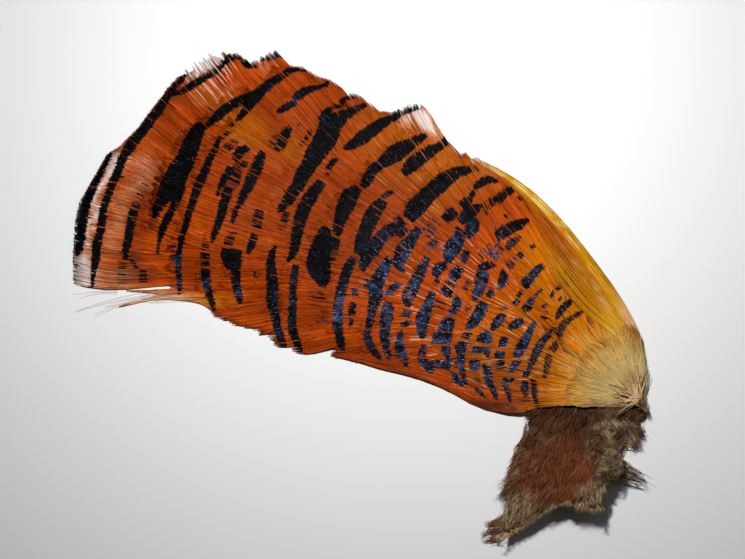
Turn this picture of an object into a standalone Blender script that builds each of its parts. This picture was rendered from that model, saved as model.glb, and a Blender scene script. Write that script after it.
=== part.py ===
"""A golden pheasant tippet: the barred cape of feathers on the nape skin of one bird, with the root
of the golden crest and a flap of rust-coloured face skin, lying on a flat surface.

The origin is on the flat underside of the skin, +X points to the crown of the head, +Y to the
crest side and +Z up. Every feather points away from the crown and lies like a roof tile on the
feathers whose roots are further from the crown than its own.
"""

import math
import random

import bmesh
import bpy
from mathutils import Matrix, Vector

MM = 0.001

# The crown, from which the feathers fan out, in plan
CROWN = Vector((27.5, -20.0)) * MM
LEAST_REACH = 0.1 * MM

# The stack of feathers: a level is one feather's thickness with the air above it
VANE_THICKNESS = 0.14 * MM
LEVEL_PITCH = 0.33 * MM
AIR_GAP = 0.30 * MM
EDGE_SQUEEZE = 0.3

# Roots: the lowest level grows at ROOT_LIMIT from the crown, each further level nearer to it
ROOT_LIMIT = 66.0 * MM
ROOT_EASE = 10.0 * MM
ROOT_STEP = 1.5 * MM

# The outline of the cape, as seen from the crown
SPINE_BEARING = math.radians(37.0)
SPINE_TURN = math.radians(-0.125) / MM
CAPE_HALF_WIDTH = 31.0 * MM
CAPE_FLARE = 32.0 * MM
ARCH_HEIGHT = 2.5 * MM
ARCH_START = 50.0 * MM
ARCH_FULL = 80.0 * MM

# The nape skin, an oval that is thicker in the middle
NAPE_BEARING = 31.0
NAPE_CENTRE_REACH = 37.0 * MM
NAPE_HALF_LENGTH = 34.0 * MM
NAPE_HALF_WIDTH = 13.0 * MM
SKIN_THICKNESS = 0.8 * MM
NAPE_DOME = 2.0 * MM
NAPE_FALL_END = 1.6
NAPE_RINGS = 5
NAPE_SIDES = 28
NAPE_WELD = 0.01 * MM

# The flap of face skin, as its outline's corners in millimetres, and how its far end curls up
FLAP_OUTLINE = (
    (24.0, -14.0),
    (29.5, -19.0),
    (29.5, -27.0),
    (24.8, -31.0),
    (25.4, -35.0),
    (21.2, -38.5),
    (20.0, -42.0),
    (13.0, -42.3),
    (9.5, -43.5),
    (5.5, -46.5),
    (1.5, -49.0),
    (1.0, -43.0),
    (3.5, -37.0),
    (6.5, -30.0),
    (5.5, -22.0),
    (5.0, -17.0),
)
FLAP_CUTS = 6
FLAP_CURL_START = -27.0 * MM
FLAP_CURL = 2.2 * MM

# The locks of face feathers on the flap: they lie down and to the left, and messily by the eye
LOCK_RADIUS = 1.05 * MM
LOCK_TIP_RADIUS = 0.12 * MM
LOCK_LENGTH = 5.2 * MM
LOCK_SIDES = 4
LOCK_PITCH = 3.3 * MM
LOCK_INSET = 0.8 * MM
LOCK_RISE = 15.0
LOCK_FLATNESS = 0.5
LOCK_HEADING = -40.0
LOCK_JITTER = 14.0
MESSY_FROM = 18.0 * MM
MESSY_HEADING = 190.0
MESSY_JITTER = 75.0
MESSY_LENGTH_SHARE = 0.7
LOCK_SEED = 4

# A vane's form, as shares of the feather's length and of half its width
FEATHER_BEND = 0.45
ROOT_WIDTH_SHARE = 0.12
TIP_ROUNDING = 0.18
VANE_CELL = 8.0 * MM
BROAD_VANE = 8.5 * MM
MEET_STEPS = 14
MEET_MARGIN = 0.6 * MM

# Each tippet feather, lowest first: its tip's x and y in millimetres, the way it points in
# degrees from -X towards +Y, and its width in millimetres
TIPPETS = (
    (-88.0, 17.5, 17, 29),
    (-85.0, 18.0, 13, 30),
    (-73.5, 39.0, 40, 22),
    (-63.0, 49.5, 52, 11),
    (-63.3, 48.0, 53, 16),
    (-55.0, 51.0, 56, 9),
    (-50.0, 50.8, 48, 9),
    (-57.5, 40.5, 47, 12),
    (-69.0, 27.5, 25, 22),
    (-68.0, 8.5, 2, 15),
    (-63.5, 25.0, 22, 22),
    (-51.0, 43.5, 45, 20),
    (-59.0, 20.0, 20, 17),
    (-62.0, 2.5, -5, 12),
    (-54.0, 23.0, 23, 18),
    (-42.5, 43.0, 52, 14),
    (-56.5, 1.5, -8, 16),
    (-42.5, 28.5, 32, 27),
    (-49.0, 2.0, -2, 20),
    (-42.5, 17.0, 22, 18),
    (-44.5, -1.5, -5, 17),
    (-33.5, 39.5, 50, 13),
    (-39.5, 10.5, 20, 18),
    (-29.0, 35.5, 52, 15),
    (-18.5, 39.5, 63, 7),
    (-34.3, 18.5, 30, 16),
    (-35.5, -1.5, 0, 20),
    (-24.0, 30.5, 46, 19),
    (-29.8, 16.2, 33, 15),
    (-26.0, 2.5, 24, 14),
    (-27.9, -9.0, -6, 8),
    (-25.8, 12.6, 37, 12),
    (-17.0, 31.0, 50, 13),
    (-20.6, 11.5, 35, 12),
    (-24.5, -2.0, 5, 13),
    (-14.7, 23.5, 46, 21),
    (-19.3, 3.5, 28, 12),
    (-22.0, -9.0, -8, 10),
    (-17.0, -3.0, 15, 11),
    (-10.8, 12.0, 40, 14),
    (-2.9, 25.0, 50, 8),
    (1.0, 21.4, 52, 10),
    (-14.2, -8.0, 5, 10),
    (-5.5, 3.5, 30, 13),
    (0.8, 15.0, 45, 11),
    (-10.2, -10.5, -5, 11),
    (-2.6, -7.5, 15, 10),
    (5.0, 4.6, 42, 11),
    (3.3, -8.5, 25, 10),
    (-3.0, -17.0, -6, 8),
    (12.8, -1.0, 45, 9),
    (7.0, -11.0, 26, 9),
)

# Each crest feather: its tip, the bend of its shaft and its root in millimetres, and its width
CREST_FEATHERS = (
    ((-7.6, 29.4), (15.0, 22.4), (28.2, -7.5), 5.0),
    ((1.0, 24.4), (13.6, 16.4), (27.2, -8.6), 5.5),
    ((6.7, 16.4), (16.2, 10.4), (26.6, -9.8), 5.5),
    ((11.0, 8.0), (18.6, 4.4), (26.0, -11.4), 5.5),
)
CREST_TIP_SHARE = 0.25
CREST_WIDEST = 0.35

# The crest lies on the cape: its level at one reach from the crown, and how that falls outwards
CREST_LEVEL = 33.0
CREST_LEVEL_REACH = 40.0 * MM
CREST_LEVEL_FALL = 0.5 / MM
CREST_LEVEL_STEP = 1.0

# Each crown feather, in the same way
CROWN_FEATHERS = (
    ((12.6, -18.6), (20.0, -20.0), (23.4, -20.2), 10.5),
    ((16.6, -9.4), (21.4, -14.0), (24.4, -17.6), 11.5),
    ((25.4, -4.4), (27.8, -10.6), (27.8, -16.2), 7.0),
)
CROWN_TIP_SHARE = 0.6
CROWN_WIDEST = 0.3
CROWN_LEVEL = 36.0


def smooth_step(low, high, value):
    """0 below low and 1 above high, with an even S between."""
    share = min(1.0, max(0.0, (value - low) / (high - low)))
    return share * share * (3.0 - 2.0 * share)


def pointing(degrees):
    """The plan direction of a heading: 0 is -X, and a positive heading swings towards +Y."""
    turn = math.radians(degrees)
    return Vector((-math.cos(turn), math.sin(turn)))


def reach_and_side(place):
    """How far a place is from the crown, and how far across the cape: -1 and 1 are its edges."""
    offset = place - CROWN
    reach = max(offset.length, LEAST_REACH)
    bearing = math.atan2(offset.y, -offset.x)
    half_width = CAPE_HALF_WIDTH * (1.0 - math.exp(-reach / CAPE_FLARE))
    side = reach * (bearing - SPINE_BEARING - SPINE_TURN * reach) / half_width
    return reach, max(-1.0, min(1.0, side))


def nape_share(place):
    """0 at the middle of the nape skin and 1 at its edge."""
    middle = CROWN + NAPE_CENTRE_REACH * pointing(NAPE_BEARING)
    offset = place - middle
    along = offset.dot(pointing(NAPE_BEARING))
    across = offset.dot(pointing(NAPE_BEARING + 90.0))
    return math.hypot(along / NAPE_HALF_LENGTH, across / NAPE_HALF_WIDTH)


def nape_height(share):
    """The upper face of the nape skin at this share of the way to its edge."""
    return SKIN_THICKNESS + NAPE_DOME * (1.0 - share * share) ** 2


def skin_height(place):
    """What the feathers lie on: the nape skin, and outside its edge a fall to the table."""
    share = nape_share(place)
    return nape_height(min(share, 1.0)) * (1.0 - smooth_step(1.0, NAPE_FALL_END, share))


def levels_below_skin(reach):
    """How many levels have their roots further out than this."""
    inward = ROOT_LIMIT - reach
    if inward <= 0.0:
        return 0.0
    if inward < 2.0 * ROOT_EASE:
        return inward * inward / (4.0 * ROOT_EASE * ROOT_STEP)
    return (inward - ROOT_EASE) / ROOT_STEP


def root_reach(level):
    """How far from the crown a feather of this level grows out of the skin."""
    if level * ROOT_STEP < ROOT_EASE:
        inward = math.sqrt(4.0 * ROOT_EASE * ROOT_STEP * level)
    else:
        inward = level * ROOT_STEP + ROOT_EASE
    return ROOT_LIMIT - inward


def lie_height(place, level):
    """The middle of the vane of a feather of this level."""
    reach, side = reach_and_side(place)
    squeeze = 1.0 - EDGE_SQUEEZE * side * side
    stack = LEVEL_PITCH * squeeze * (level - levels_below_skin(reach))
    arch = ARCH_HEIGHT * smooth_step(ARCH_START, ARCH_FULL, reach) * (1.0 - side * side) ** 2
    return skin_height(place) + AIR_GAP + stack + arch


def crest_height(place, order):
    """The middle of a crest feather's vane: the crest lies along the edge of the cape."""
    reach = (place - CROWN).length
    level = CREST_LEVEL - CREST_LEVEL_FALL * max(0.0, reach - CREST_LEVEL_REACH)
    return lie_height(place, level + order * CREST_LEVEL_STEP)


class Feather:
    """A feather in plan: a curved shaft, on which t is 0 at the tip and 1 at the root, and a vane."""

    def __init__(self, tip, bend, root, width, tip_share=1.0, widest=0.0):
        self.tip = tip
        self.bend = bend
        self.root = root
        self.half_width = width / 2
        self.tip_share = tip_share
        self.widest = widest

    def point(self, t):
        return self.tip * (1 - t) ** 2 + self.bend * 2 * t * (1 - t) + self.root * t * t

    def back(self, t):
        """The direction from tip to root."""
        return ((self.bend - self.tip) * (1 - t) + (self.root - self.bend) * t).normalized()

    def half_width_at(self, t):
        if t < self.widest:
            share = self.tip_share + (1.0 - self.tip_share) * smooth_step(-self.widest, self.widest, t)
        else:
            share = 1.0 - (1.0 - ROOT_WIDTH_SHARE) * smooth_step(self.widest, 1.0, t)
        return self.half_width * share

    def place(self, t, across):
        """A place on the vane: across runs from -1 to 1."""
        back = self.back(t)
        side = Vector((-back.y, back.x))
        rounding = TIP_ROUNDING * self.half_width * across * across * (1 - t) ** 3
        return self.point(t) + side * across * self.half_width_at(t) + back * rounding

    def meets(self, other):
        """Whether the two feathers cover the same ground anywhere."""
        steps = [i / MEET_STEPS for i in range(MEET_STEPS + 1)]
        return any(
            (self.point(s) - other.point(t)).length
            < self.half_width_at(s) + other.half_width_at(t) + MEET_MARGIN
            for s in steps
            for t in steps
        )


def tippet_feather(x, y, heading, width, level):
    """The tippet feather with this tip, whose root is where its level grows."""
    tip = Vector((x, y)) * MM
    root_at = root_reach(level)
    bend = tip - pointing(heading) * ((tip - CROWN).length - root_at) * FEATHER_BEND
    root = CROWN + (bend - CROWN).normalized() * root_at
    return Feather(tip, bend, root, width * MM)


def stacked_tippets():
    """(feather, level) of every tippet: each lies one level above all that it covers."""
    laid = []
    for row in TIPPETS:
        level = 0
        covered = [0]
        while covered:
            feather = tippet_feather(*row, level)
            covered = [
                below + 1 for other, below in laid if below >= level and feather.meets(other)
            ]
            level = max([level, *covered])
        laid.append((feather, level))
    return laid


def shaped_feather(tip, bend, root, width, tip_share, widest):
    places = [Vector(place) * MM for place in (tip, bend, root)]
    return Feather(*places, width * MM, tip_share, widest)


def material(name, colour, roughness):
    made = bpy.data.materials.new(name)
    made.use_nodes = True
    shader = made.node_tree.nodes["Principled BSDF"]
    shader.inputs["Base Color"].default_value = (*colour, 1.0)
    shader.inputs["Roughness"].default_value = roughness
    shader.inputs["Metallic"].default_value = 0.0
    return made


def add_object(name, shape, finish, collection):
    """An object with the bmesh's shape."""
    bmesh.ops.recalc_face_normals(shape, faces=shape.faces)
    mesh = bpy.data.meshes.new(name)
    shape.to_mesh(mesh)
    shape.free()
    mesh.materials.append(finish)
    made = bpy.data.objects.new(name, mesh)
    collection.objects.link(made)
    return made


def vane_object(name, feather, height, finish, collection):
    """A feather's vane: a grid laid along its shaft, with Solidify for its thickness."""
    length = (feather.tip - feather.bend).length + (feather.bend - feather.root).length
    along = max(4, round(length / VANE_CELL))
    across = 6 if feather.half_width > BROAD_VANE else 4
    vane = bmesh.new()
    bmesh.ops.create_grid(vane, x_segments=along, y_segments=across, size=0.5)
    for vertex in vane.verts:
        place = feather.place(vertex.co.x + 0.5, 2.0 * vertex.co.y)
        vertex.co = (place.x, place.y, height(place))
    made = add_object(name, vane, finish, collection)
    thicken = made.modifiers.new("thickness", "SOLIDIFY")
    thicken.thickness = VANE_THICKNESS
    thicken.offset = 0.0
    return made


def nape_skin():
    """The oval nape skin: half of its section, from the top of the dome down, spun round."""
    skin = bmesh.new()
    section = [
        skin.verts.new((ring / NAPE_RINGS, 0.0, nape_height(ring / NAPE_RINGS)))
        for ring in range(NAPE_RINGS + 1)
    ]
    section += [skin.verts.new((1.0, 0.0, 0.0)), skin.verts.new((0.0, 0.0, 0.0))]
    edges = [skin.edges.new(pair) for pair in zip(section, section[1:])]
    bmesh.ops.spin(
        skin,
        geom=section + edges,
        cent=(0.0, 0.0, 0.0),
        axis=(0.0, 0.0, 1.0),
        angle=2.0 * math.pi,
        steps=NAPE_SIDES,
        use_merge=True,
    )
    bmesh.ops.remove_doubles(skin, verts=skin.verts, dist=NAPE_WELD)
    middle = CROWN + NAPE_CENTRE_REACH * pointing(NAPE_BEARING)
    size = Matrix.Diagonal((NAPE_HALF_LENGTH, NAPE_HALF_WIDTH, 1.0, 1.0))
    turn = Matrix.Rotation(-math.radians(NAPE_BEARING), 4, "Z")
    move = Matrix.Translation((middle.x, middle.y, 0.0))
    bmesh.ops.transform(skin, matrix=move @ turn @ size, verts=skin.verts)
    return skin


def flap_lift(y):
    """How far the flap's underside is above the table."""
    share = smooth_step(-FLAP_CURL_START, -min(y for _, y in FLAP_OUTLINE) * MM, -y)
    return FLAP_CURL * share


def face_flap():
    """The flap of face skin: its outline, cut across so that it can curl, then extruded."""
    flap = bmesh.new()
    flap.faces.new([flap.verts.new((x * MM, y * MM, 0.0)) for x, y in FLAP_OUTLINE])
    far = min(y for _, y in FLAP_OUTLINE) * MM
    for cut in range(FLAP_CUTS):
        y = FLAP_CURL_START + (far - FLAP_CURL_START) * cut / FLAP_CUTS
        bmesh.ops.bisect_plane(
            flap,
            geom=flap.verts[:] + flap.edges[:] + flap.faces[:],
            plane_co=(0.0, y, 0.0),
            plane_no=(0.0, 1.0, 0.0),
        )
    top = bmesh.ops.extrude_face_region(flap, geom=flap.faces[:])["geom"]
    raised = [item for item in top if isinstance(item, bmesh.types.BMVert)]
    bmesh.ops.translate(flap, verts=raised, vec=(0.0, 0.0, SKIN_THICKNESS))
    for vertex in flap.verts:
        vertex.co.z += flap_lift(vertex.co.y)
    return flap


def inside_flap(place):
    """Whether a place in plan is on the flap: how often a line to its right crosses the outline."""
    corners = [Vector(corner) * MM for corner in FLAP_OUTLINE]
    crossings = 0
    for start, end in zip(corners, corners[1:] + corners[:1]):
        if (start.y > place.y) != (end.y > place.y):
            share = (place.y - start.y) / (end.y - start.y)
            crossings += start.x + share * (end.x - start.x) > place.x
    return crossings % 2 == 1


def lock_places():
    """The roots of the face feathers: a staggered grid over the flap."""
    low_x, high_x = (pick(x for x, _ in FLAP_OUTLINE) * MM for pick in (min, max))
    low_y, high_y = (pick(y for _, y in FLAP_OUTLINE) * MM for pick in (min, max))
    row_pitch = LOCK_PITCH * math.sqrt(3.0) / 2.0
    for row in range(math.ceil((high_y - low_y) / row_pitch)):
        for column in range(math.ceil((high_x - low_x) / LOCK_PITCH)):
            place = Vector(
                (low_x + (column + 0.5 * (row % 2)) * LOCK_PITCH, low_y + row * row_pitch)
            )
            inset = (Vector((dx, dy)) * LOCK_INSET for dx, dy in ((1, 0), (-1, 0), (0, 1), (0, -1)))
            if all(inside_flap(place + step) for step in inset):
                yield place


def face_locks():
    """Every lock of face feathers: a flattened cone that leaves the skin at a low angle."""
    chance = random.Random(LOCK_SEED)
    locks = bmesh.new()
    for place in lock_places():
        messy = place.x > MESSY_FROM
        heading = MESSY_HEADING if messy else LOCK_HEADING
        jitter = MESSY_JITTER if messy else LOCK_JITTER
        length = LOCK_LENGTH * (MESSY_LENGTH_SHARE if messy else 1.0) * chance.uniform(0.85, 1.15)
        direction = pointing(heading + chance.uniform(-jitter, jitter))
        lock = bmesh.ops.create_cone(
            locks,
            cap_ends=True,
            segments=LOCK_SIDES,
            radius1=LOCK_RADIUS,
            radius2=LOCK_TIP_RADIUS,
            depth=length,
        )["verts"]
        stand = Matrix.Translation((0.0, 0.0, length / 2))
        flatten = Matrix.Diagonal((LOCK_FLATNESS, 1.0, 1.0, 1.0))
        lay = Matrix.Rotation(math.radians(90.0 - LOCK_RISE), 4, "Y")
        turn = Matrix.Rotation(math.atan2(direction.y, direction.x), 4, "Z")
        height = flap_lift(place.y) + SKIN_THICKNESS
        move = Matrix.Translation((place.x, place.y, height))
        bmesh.ops.transform(locks, matrix=move @ turn @ lay @ flatten @ stand, verts=lock)
    return locks


def join(base, added, helpers):
    """Fuses one object with another, which stays behind as a hidden helper."""
    helpers.objects.link(added)
    for collection in added.users_collection:
        if collection != helpers:
            collection.objects.unlink(added)
    added.hide_render = True
    added.display_type = "WIRE"
    union = base.modifiers.new(f"join_{added.name}", "BOOLEAN")
    union.operation = "UNION"
    union.object = added
    union.use_self = True


def main():
    for old in list(bpy.data.objects):
        bpy.data.objects.remove(old)
    parts = bpy.data.collections.new("golden_pheasant_tippet")
    helpers = bpy.data.collections.new("joined_shapes")
    for collection in (parts, helpers):
        bpy.context.scene.collection.children.link(collection)
    tippet_orange = material("tippet_orange", (0.62, 0.16, 0.02), 0.5)
    crest_gold = material("crest_gold", (0.55, 0.3, 0.03), 0.4)
    crown_cream = material("crown_cream", (0.62, 0.5, 0.3), 0.6)
    skin_hide = material("skin_hide", (0.5, 0.36, 0.22), 0.7)
    for number, (feather, level) in enumerate(stacked_tippets(), 1):
        vane_object(
            f"tippet_{number:02d}",
            feather,
            lambda place, level=level: lie_height(place, level),
            tippet_orange,
            parts,
        )
    for number, row in enumerate(CREST_FEATHERS, 1):
        vane_object(
            f"crest_feather_{number}",
            shaped_feather(*row, CREST_TIP_SHARE, CREST_WIDEST),
            lambda place, order=number: crest_height(place, order),
            crest_gold,
            parts,
        )
    for number, row in enumerate(CROWN_FEATHERS, 1):
        vane_object(
            f"crown_feather_{number}",
            shaped_feather(*row, CROWN_TIP_SHARE, CROWN_WIDEST),
            lambda place, level=CROWN_LEVEL + number: lie_height(place, level),
            crown_cream,
            parts,
        )
    skin = add_object("skin_and_face_feathers", nape_skin(), skin_hide, parts)
    join(skin, add_object("flap", face_flap(), skin_hide, parts), helpers)
    join(skin, add_object("locks", face_locks(), skin_hide, parts), helpers)


if __name__ == "__main__":
    main()
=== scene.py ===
"""The looks of a golden pheasant's tippet: barbs for every feather, bars, crest, down and skin."""

import functools
import math

import bmesh
import bpy
import numpy as np
from mathutils import Color, Matrix, Vector
from mathutils.bvhtree import BVHTree


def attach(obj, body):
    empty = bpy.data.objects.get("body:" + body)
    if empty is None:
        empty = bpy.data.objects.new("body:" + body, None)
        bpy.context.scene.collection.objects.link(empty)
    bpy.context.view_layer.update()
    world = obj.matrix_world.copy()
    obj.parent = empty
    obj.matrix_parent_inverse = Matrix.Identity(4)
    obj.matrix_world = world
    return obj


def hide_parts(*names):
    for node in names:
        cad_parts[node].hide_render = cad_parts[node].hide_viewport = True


bl_info = {
    "name": "Golden pheasant tippet",
    "version": (1, 0, 0),
    "blender": (4, 5, 0),
    "location": "View3D > Sidebar > Tippet",
    "description": "Dresses a golden pheasant's tippet in barbs, bars and down",
    "category": "Object",
}

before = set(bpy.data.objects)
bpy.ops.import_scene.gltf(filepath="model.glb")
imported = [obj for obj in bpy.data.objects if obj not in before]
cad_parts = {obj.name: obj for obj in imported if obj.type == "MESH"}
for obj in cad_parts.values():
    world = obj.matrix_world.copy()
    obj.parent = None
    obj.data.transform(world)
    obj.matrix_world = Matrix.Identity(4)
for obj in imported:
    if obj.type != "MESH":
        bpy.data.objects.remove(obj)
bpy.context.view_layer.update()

# The making works in millimetres, and the meshes are in metres
MM = 0.001
UP = np.array((0.0, 0.0, 1.0))
DOWN = Vector((0.0, 0.0, -1.0))
RAY_START = 0.05

# Outlines, bars and tints were placed over the photograph, in its pixels. A pixel is
# PIXEL millimetres, and the frame's origin is at ORIGIN_X, ORIGIN_Y.
PIXEL = 0.21
ORIGIN_X, ORIGIN_Y = 500, 300

# Where the shafts meet, in millimetres
CROWN = np.array((27.5, -20.0))

SKIN_NODE = "skin_and_face_feathers"


def length_of(pixels):
    """A length on the photograph in millimetres, to a tenth."""
    return round(pixels * PIXEL, 1)


def traced(*points):
    """Points of the photograph in the frame's millimetres; lengths may follow x and y."""
    return [
        (length_of(x - ORIGIN_X), length_of(ORIGIN_Y - y), *map(length_of, lengths))
        for x, y, *lengths in points
    ]


# Each tippet feather, lowest first: its tip's x and y in millimetres, the way it points in
# degrees from -X towards +Y, and its width in millimetres
TIPPETS = (
    (-88.0, 17.5, 17, 29), (-85.0, 18.0, 13, 30), (-73.5, 39.0, 40, 22), (-63.0, 49.5, 52, 11),
    (-63.3, 48.0, 53, 16), (-55.0, 51.0, 56, 9), (-50.0, 50.8, 48, 9), (-57.5, 40.5, 47, 12),
    (-69.0, 27.5, 25, 22), (-68.0, 8.5, 2, 15), (-63.5, 25.0, 22, 22), (-51.0, 43.5, 45, 20),
    (-59.0, 20.0, 20, 17), (-62.0, 2.5, -5, 12), (-54.0, 23.0, 23, 18), (-42.5, 43.0, 52, 14),
    (-56.5, 1.5, -8, 16), (-42.5, 28.5, 32, 27), (-49.0, 2.0, -2, 20), (-42.5, 17.0, 22, 18),
    (-44.5, -1.5, -5, 17), (-33.5, 39.5, 50, 13), (-39.5, 10.5, 20, 18), (-29.0, 35.5, 52, 15),
    (-18.5, 39.5, 63, 7), (-34.3, 18.5, 30, 16), (-35.5, -1.5, 0, 20), (-24.0, 30.5, 46, 19),
    (-29.8, 16.2, 33, 15), (-26.0, 2.5, 24, 14), (-27.9, -9.0, -6, 8), (-25.8, 12.6, 37, 12),
    (-17.0, 31.0, 50, 13), (-20.6, 11.5, 35, 12), (-24.5, -2.0, 5, 13), (-14.7, 23.5, 46, 21),
    (-19.3, 3.5, 28, 12), (-22.0, -9.0, -8, 10), (-17.0, -3.0, 15, 11), (-10.8, 12.0, 40, 14),
    (-2.9, 25.0, 50, 8), (1.0, 21.4, 52, 10), (-14.2, -8.0, 5, 10), (-5.5, 3.5, 30, 13), (0.8, 15.0, 45, 11),
    (-10.2, -10.5, -5, 11), (-2.6, -7.5, 15, 10), (5.0, 4.6, 42, 11), (3.3, -8.5, 25, 10),
    (-3.0, -17.0, -6, 8), (12.8, -1.0, 45, 9), (7.0, -11.0, 26, 9),
)

# The flap of face skin seen from above, in millimetres
FLAP_OUTLINE = (
    (24.0, -14.0), (29.5, -19.0), (29.5, -27.0), (24.8, -31.0), (25.4, -35.0), (21.2, -38.5), (20.0, -42.0),
    (13.0, -42.3), (9.5, -43.5), (5.5, -46.5), (1.5, -49.0), (1.0, -43.0), (3.5, -37.0), (6.5, -30.0),
    (5.5, -22.0), (5.0, -17.0),
)

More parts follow.
